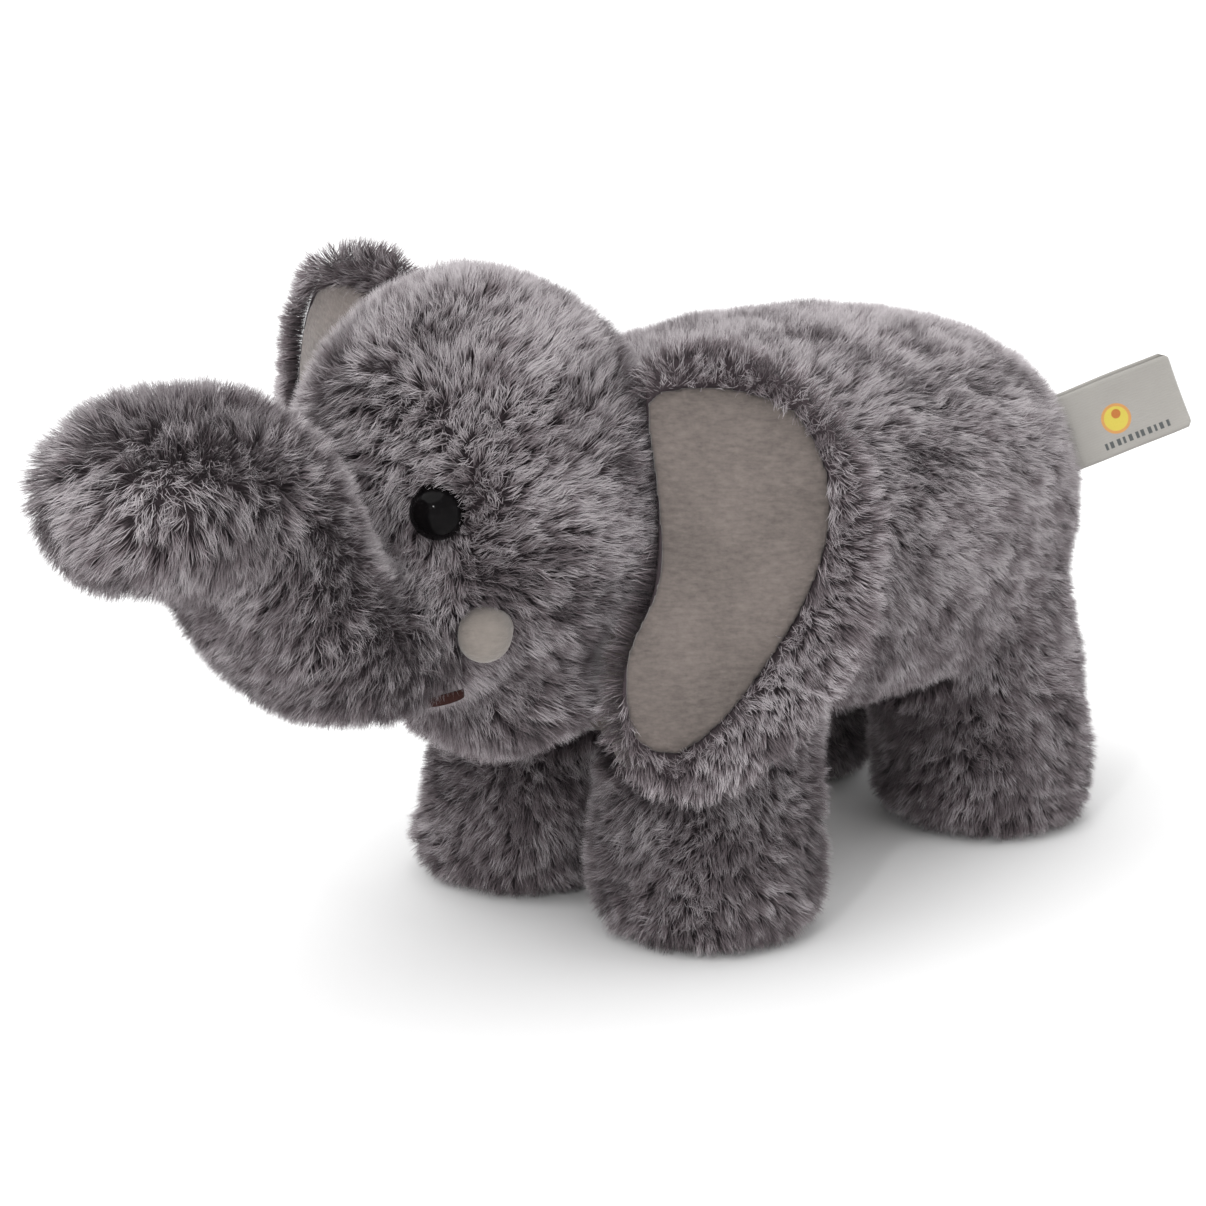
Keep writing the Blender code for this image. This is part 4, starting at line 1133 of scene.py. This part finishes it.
class PLUSH_OT_trim(bpy.types.Operator):
    """Makes the mouth's threads and the folded, sewn-in label"""
    bl_idname = "plush.trim"
    bl_label = "Trim"

    def execute(self, context):
        for side in SIDES:
            tack = self.make_threads(side)
            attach(tack, "torso")
            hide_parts(f"mouth_stitch_{side}")
        label = self.make_label(context.scene.plush_trim)
        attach(label, "label")
        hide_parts("sewn_label")
        return {"FINISHED"}

    def make_threads(self, side):
        """A bar tack: strands side by side over the length of the frame's stitch, dipping at their ends."""
        points = coordinates(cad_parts[f"mouth_stitch_{side}"].data)
        centre = points.mean(0)
        along, over, out = np.linalg.svd(points - centre, full_matrices=False)[2]
        if np.dot(out, centre - np.array(middle("chin_panel"))) < 0:
            out = -out
        half = np.abs((points - centre) @ along).max() - STRAND_RADIUS
        wide = np.abs((points - centre) @ over).max()
        verts, faces = [], []
        for strand in range(STRANDS):
            offset = (strand / (STRANDS - 1) - 0.5) * 2 * (wide - STRAND_RADIUS) * 0.8
            lift = 0.0004 * cos(offset / wide * pi / 2)
            first = len(verts)
            for step in range(STRAND_STEPS + 1):
                t = step / STRAND_STEPS * 2 - 1
                bow = 0.0004 * (1 - t * t) - 0.0012 * max(0.0, abs(t) - 0.75)
                spot = centre + along * half * t + over * offset * (1 - 0.25 * t * t) + out * (bow + lift)
                for k in range(STRAND_SIDES):
                    turn = 2 * pi * k / STRAND_SIDES
                    verts.append(spot + (over * cos(turn) + out * sin(turn)) * STRAND_RADIUS)
            for step in range(STRAND_STEPS):
                ring = first + step * STRAND_SIDES
                for k in range(STRAND_SIDES):
                    a, b = ring + k, ring + (k + 1) % STRAND_SIDES
                    faces.append((a, b, b + STRAND_SIDES, a + STRAND_SIDES))
            last = first + STRAND_STEPS * STRAND_SIDES
            faces.append(tuple(first + k for k in reversed(range(STRAND_SIDES))))
            faces.append(tuple(last + k for k in range(STRAND_SIDES)))
        name = f"mouth_threads_{side}"
        mesh = bpy.data.meshes.new(name)
        mesh.from_pydata([tuple(v) for v in verts], [], faces)
        work = bmesh_of(mesh)
        bmesh.ops.recalc_face_normals(work, faces=work.faces)
        work.to_mesh(mesh)
        work.free()
        return finished(name, mesh, shared(thread_finish))

    def label_axes(self, leaf):
        """Where the tape leaves the seam, then the directions along it, across it and off its front."""
        points = coordinates(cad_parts["sewn_label"].data)
        centre = points.mean(0)
        along, over, _ = np.linalg.svd(points - centre, full_matrices=False)[2]
        if np.dot(along, centre - np.array(middle("body_fill"))) < 0:
            along = -along
        if over[2] < 0:
            over = -over
        reach = (points - centre) @ along
        return centre + along * (reach.max() - leaf), along, over, np.cross(along, over)

    def make_label(self, trim):
        """A tape folded once: two leaves with a fold at the far end, both caught in the seam."""
        width, leaf = trim.label_width, trim.label_leaf
        root, along, over, face = self.label_axes(leaf)
        count = TAPE_STEPS + 1
        verts = []
        for step in range(2 * LEAF_STEPS + 1):
            u = step / LEAF_STEPS - 1
            to_fold = abs(u) * leaf
            bend = min(1.0, to_fold / FOLD_REACH) * pi / 2
            front = 1 if u < 0 else -1
            x = leaf - FOLD_RADIUS * (1 - cos(bend)) - max(0.0, to_fold - FOLD_REACH)
            lift = front * FOLD_RADIUS * sin(bend) * (1 - 0.55 * u * u)
            slip = 0.0007 if front < 0 and abs(u) > 0.04 else 0.0
            for k in range(count):
                v = k / TAPE_STEPS * 2 - 1
                corner = 0.0011 * max(0.0, (abs(v) - 0.86) / 0.14) ** 2 * max(0.0, 1 - to_fold / 0.0035)
                curl = 0.0010 * v * v * (1 - abs(u)) - 0.0006 * sin((1 - abs(u)) * pi) * v
                rise = lift + curl + 0.0003 * sin(9 * x / leaf)
                spot = root + along * (x - corner) + over * (v * width / 2 + slip) + face * rise
                verts.append(tuple(spot))
        faces = [(r * count + k, r * count + k + 1, (r + 1) * count + k + 1, (r + 1) * count + k)
                 for r in range(2 * LEAF_STEPS) for k in range(TAPE_STEPS)]
        mesh = bpy.data.meshes.new("folded_label")
        mesh.from_pydata(verts, [], faces)
        layer = mesh.uv_layers.new(name="tape")
        for loop in mesh.loops:
            row, k = divmod(loop.vertex_index, count)
            layer.data[loop.index].uv = (row / LEAF_STEPS * leaf, (k / TAPE_STEPS - 0.5) * width)
        return finished("folded_label", thickened(mesh, TAPE_THICKNESS, 0.0), shared(satin_finish))


# ---------------------------------------------------------------- stage

FLOOR_RINGS = 26
FLOOR_SIDES = 48
FLOOR_RADIUS = 4.0
WALL_RISE = 1.8
SKY_STRENGTH = 0.80
# Name, kind, place, size (an angle for the sun) and strength.
LIGHTS = (
    ("overhead", "SUN", (-0.15, -0.45, 1.2), radians(70), 2.0),
    ("window", "AREA", (0.42, -1.10, 0.62), 0.07, 2.6),
)


class PLUSH_OT_studio(bpy.types.Operator):
    """Makes the camera, the pale floor and the soft lights"""
    bl_idname = "plush.studio"
    bl_label = "Studio"

    def execute(self, context):
        studio = context.scene.plush_studio
        self.add_camera(context, studio)
        self.add_floor()
        self.add_lights(context)
        return {"FINISHED"}

    def add_camera(self, context, studio):
        data = bpy.data.cameras.new("camera")
        data.lens = studio.lens
        data.sensor_width = 36
        data.clip_start = 0.02
        camera = object_of("camera", data)
        back = Vector((
            sin(studio.azimuth) * cos(studio.elevation), -cos(studio.azimuth) * cos(studio.elevation),
            sin(studio.elevation)))
        camera.location = Vector(studio.aim) + back * studio.distance
        camera.rotation_euler = back.to_track_quat("Z", "Y").to_euler()
        context.scene.camera = camera
        context.scene.view_settings.view_transform = "Standard"

    def add_floor(self):
        """A floor that sweeps up into a wall all round, far behind."""
        mesh = bpy.data.meshes.new("floor")
        sides = FLOOR_SIDES
        points = [(0, 0, 0)]
        for k in range(1, FLOOR_RINGS):
            share = k / (FLOOR_RINGS - 1)
            radius = FLOOR_RADIUS * share
            height = WALL_RISE * (max(0.0, share - 0.6) / 0.4) ** 2
            angles = [2 * pi * s / sides for s in range(sides)]
            points += [(radius * cos(a), radius * sin(a), height) for a in angles]
        faces = [(0, 1 + s, 1 + (s + 1) % sides) for s in range(sides)]
        for r in range(FLOOR_RINGS - 2):
            low, high = 1 + r * sides, 1 + (r + 1) * sides
            faces += [
                (low + s, high + s, high + (s + 1) % sides, low + (s + 1) % sides) for s in range(sides)]
        mesh.from_pydata(points, [], faces)
        finish = Finish("pale_floor", 0.85, Specular_IOR_Level=0.1, Base_Color=(0.92, 0.92, 0.92, 1))
        finished("floor", mesh, finish.material)

    def add_lights(self, context):
        world = bpy.data.worlds.new("studio")
        world.use_nodes = True
        world.node_tree.nodes["Background"].inputs[0].default_value = (1, 1, 1, 1)
        world.node_tree.nodes["Background"].inputs[1].default_value = SKY_STRENGTH
        context.scene.world = world
        aim = Vector((0, 0, 0.08))
        for name, kind, place, size, strength in LIGHTS:
            data = bpy.data.lights.new(name, kind)
            data.energy = strength
            if kind == "SUN":
                data.angle = size
            else:
                data.shape = "DISK"
                data.size = size
            light = object_of(name, data)
            light.location = place
            light.rotation_euler = (Vector(place) - aim).to_track_quat("Z", "Y").to_euler()


class PLUSH_PT_panel(bpy.types.Panel):
    """Lists the makers of the plush elephant"""
    bl_idname = "PLUSH_PT_panel"
    bl_label = "Plush elephant"
    bl_space_type = "VIEW_3D"
    bl_region_type = "UI"
    bl_category = "Plush"

    def draw(self, context):
        for settings in (context.scene.plush_pile, context.scene.plush_minky, context.scene.plush_trim,
                         context.scene.plush_studio):
            for key in settings.__annotations__:
                self.layout.prop(settings, key)
        for operator in OPERATORS:
            self.layout.operator(operator.bl_idname)


SETTINGS = {
    "plush_pile": PileSettings, "plush_minky": MinkySettings, "plush_trim": TrimSettings,
    "plush_studio": StudioSettings,
}
OPERATORS = (
    PLUSH_OT_studio, PLUSH_OT_body, PLUSH_OT_ears, PLUSH_OT_tail, PLUSH_OT_eyes, PLUSH_OT_tusks,
    PLUSH_OT_trim,
)


def register():
    for kind in (*SETTINGS.values(), *OPERATORS, PLUSH_PT_panel):
        bpy.utils.register_class(kind)
    for key, kind in SETTINGS.items():
        setattr(bpy.types.Scene, key, PointerProperty(type=kind))


def unregister():
    for key in SETTINGS:
        delattr(bpy.types.Scene, key)
    for kind in (PLUSH_PT_panel, *OPERATORS, *SETTINGS.values()):
        bpy.utils.unregister_class(kind)


def main():
    register()
    for operator in OPERATORS:
        getattr(bpy.ops.plush, operator.bl_idname.split(".")[1])()


if __name__ == "__main__":
    main()
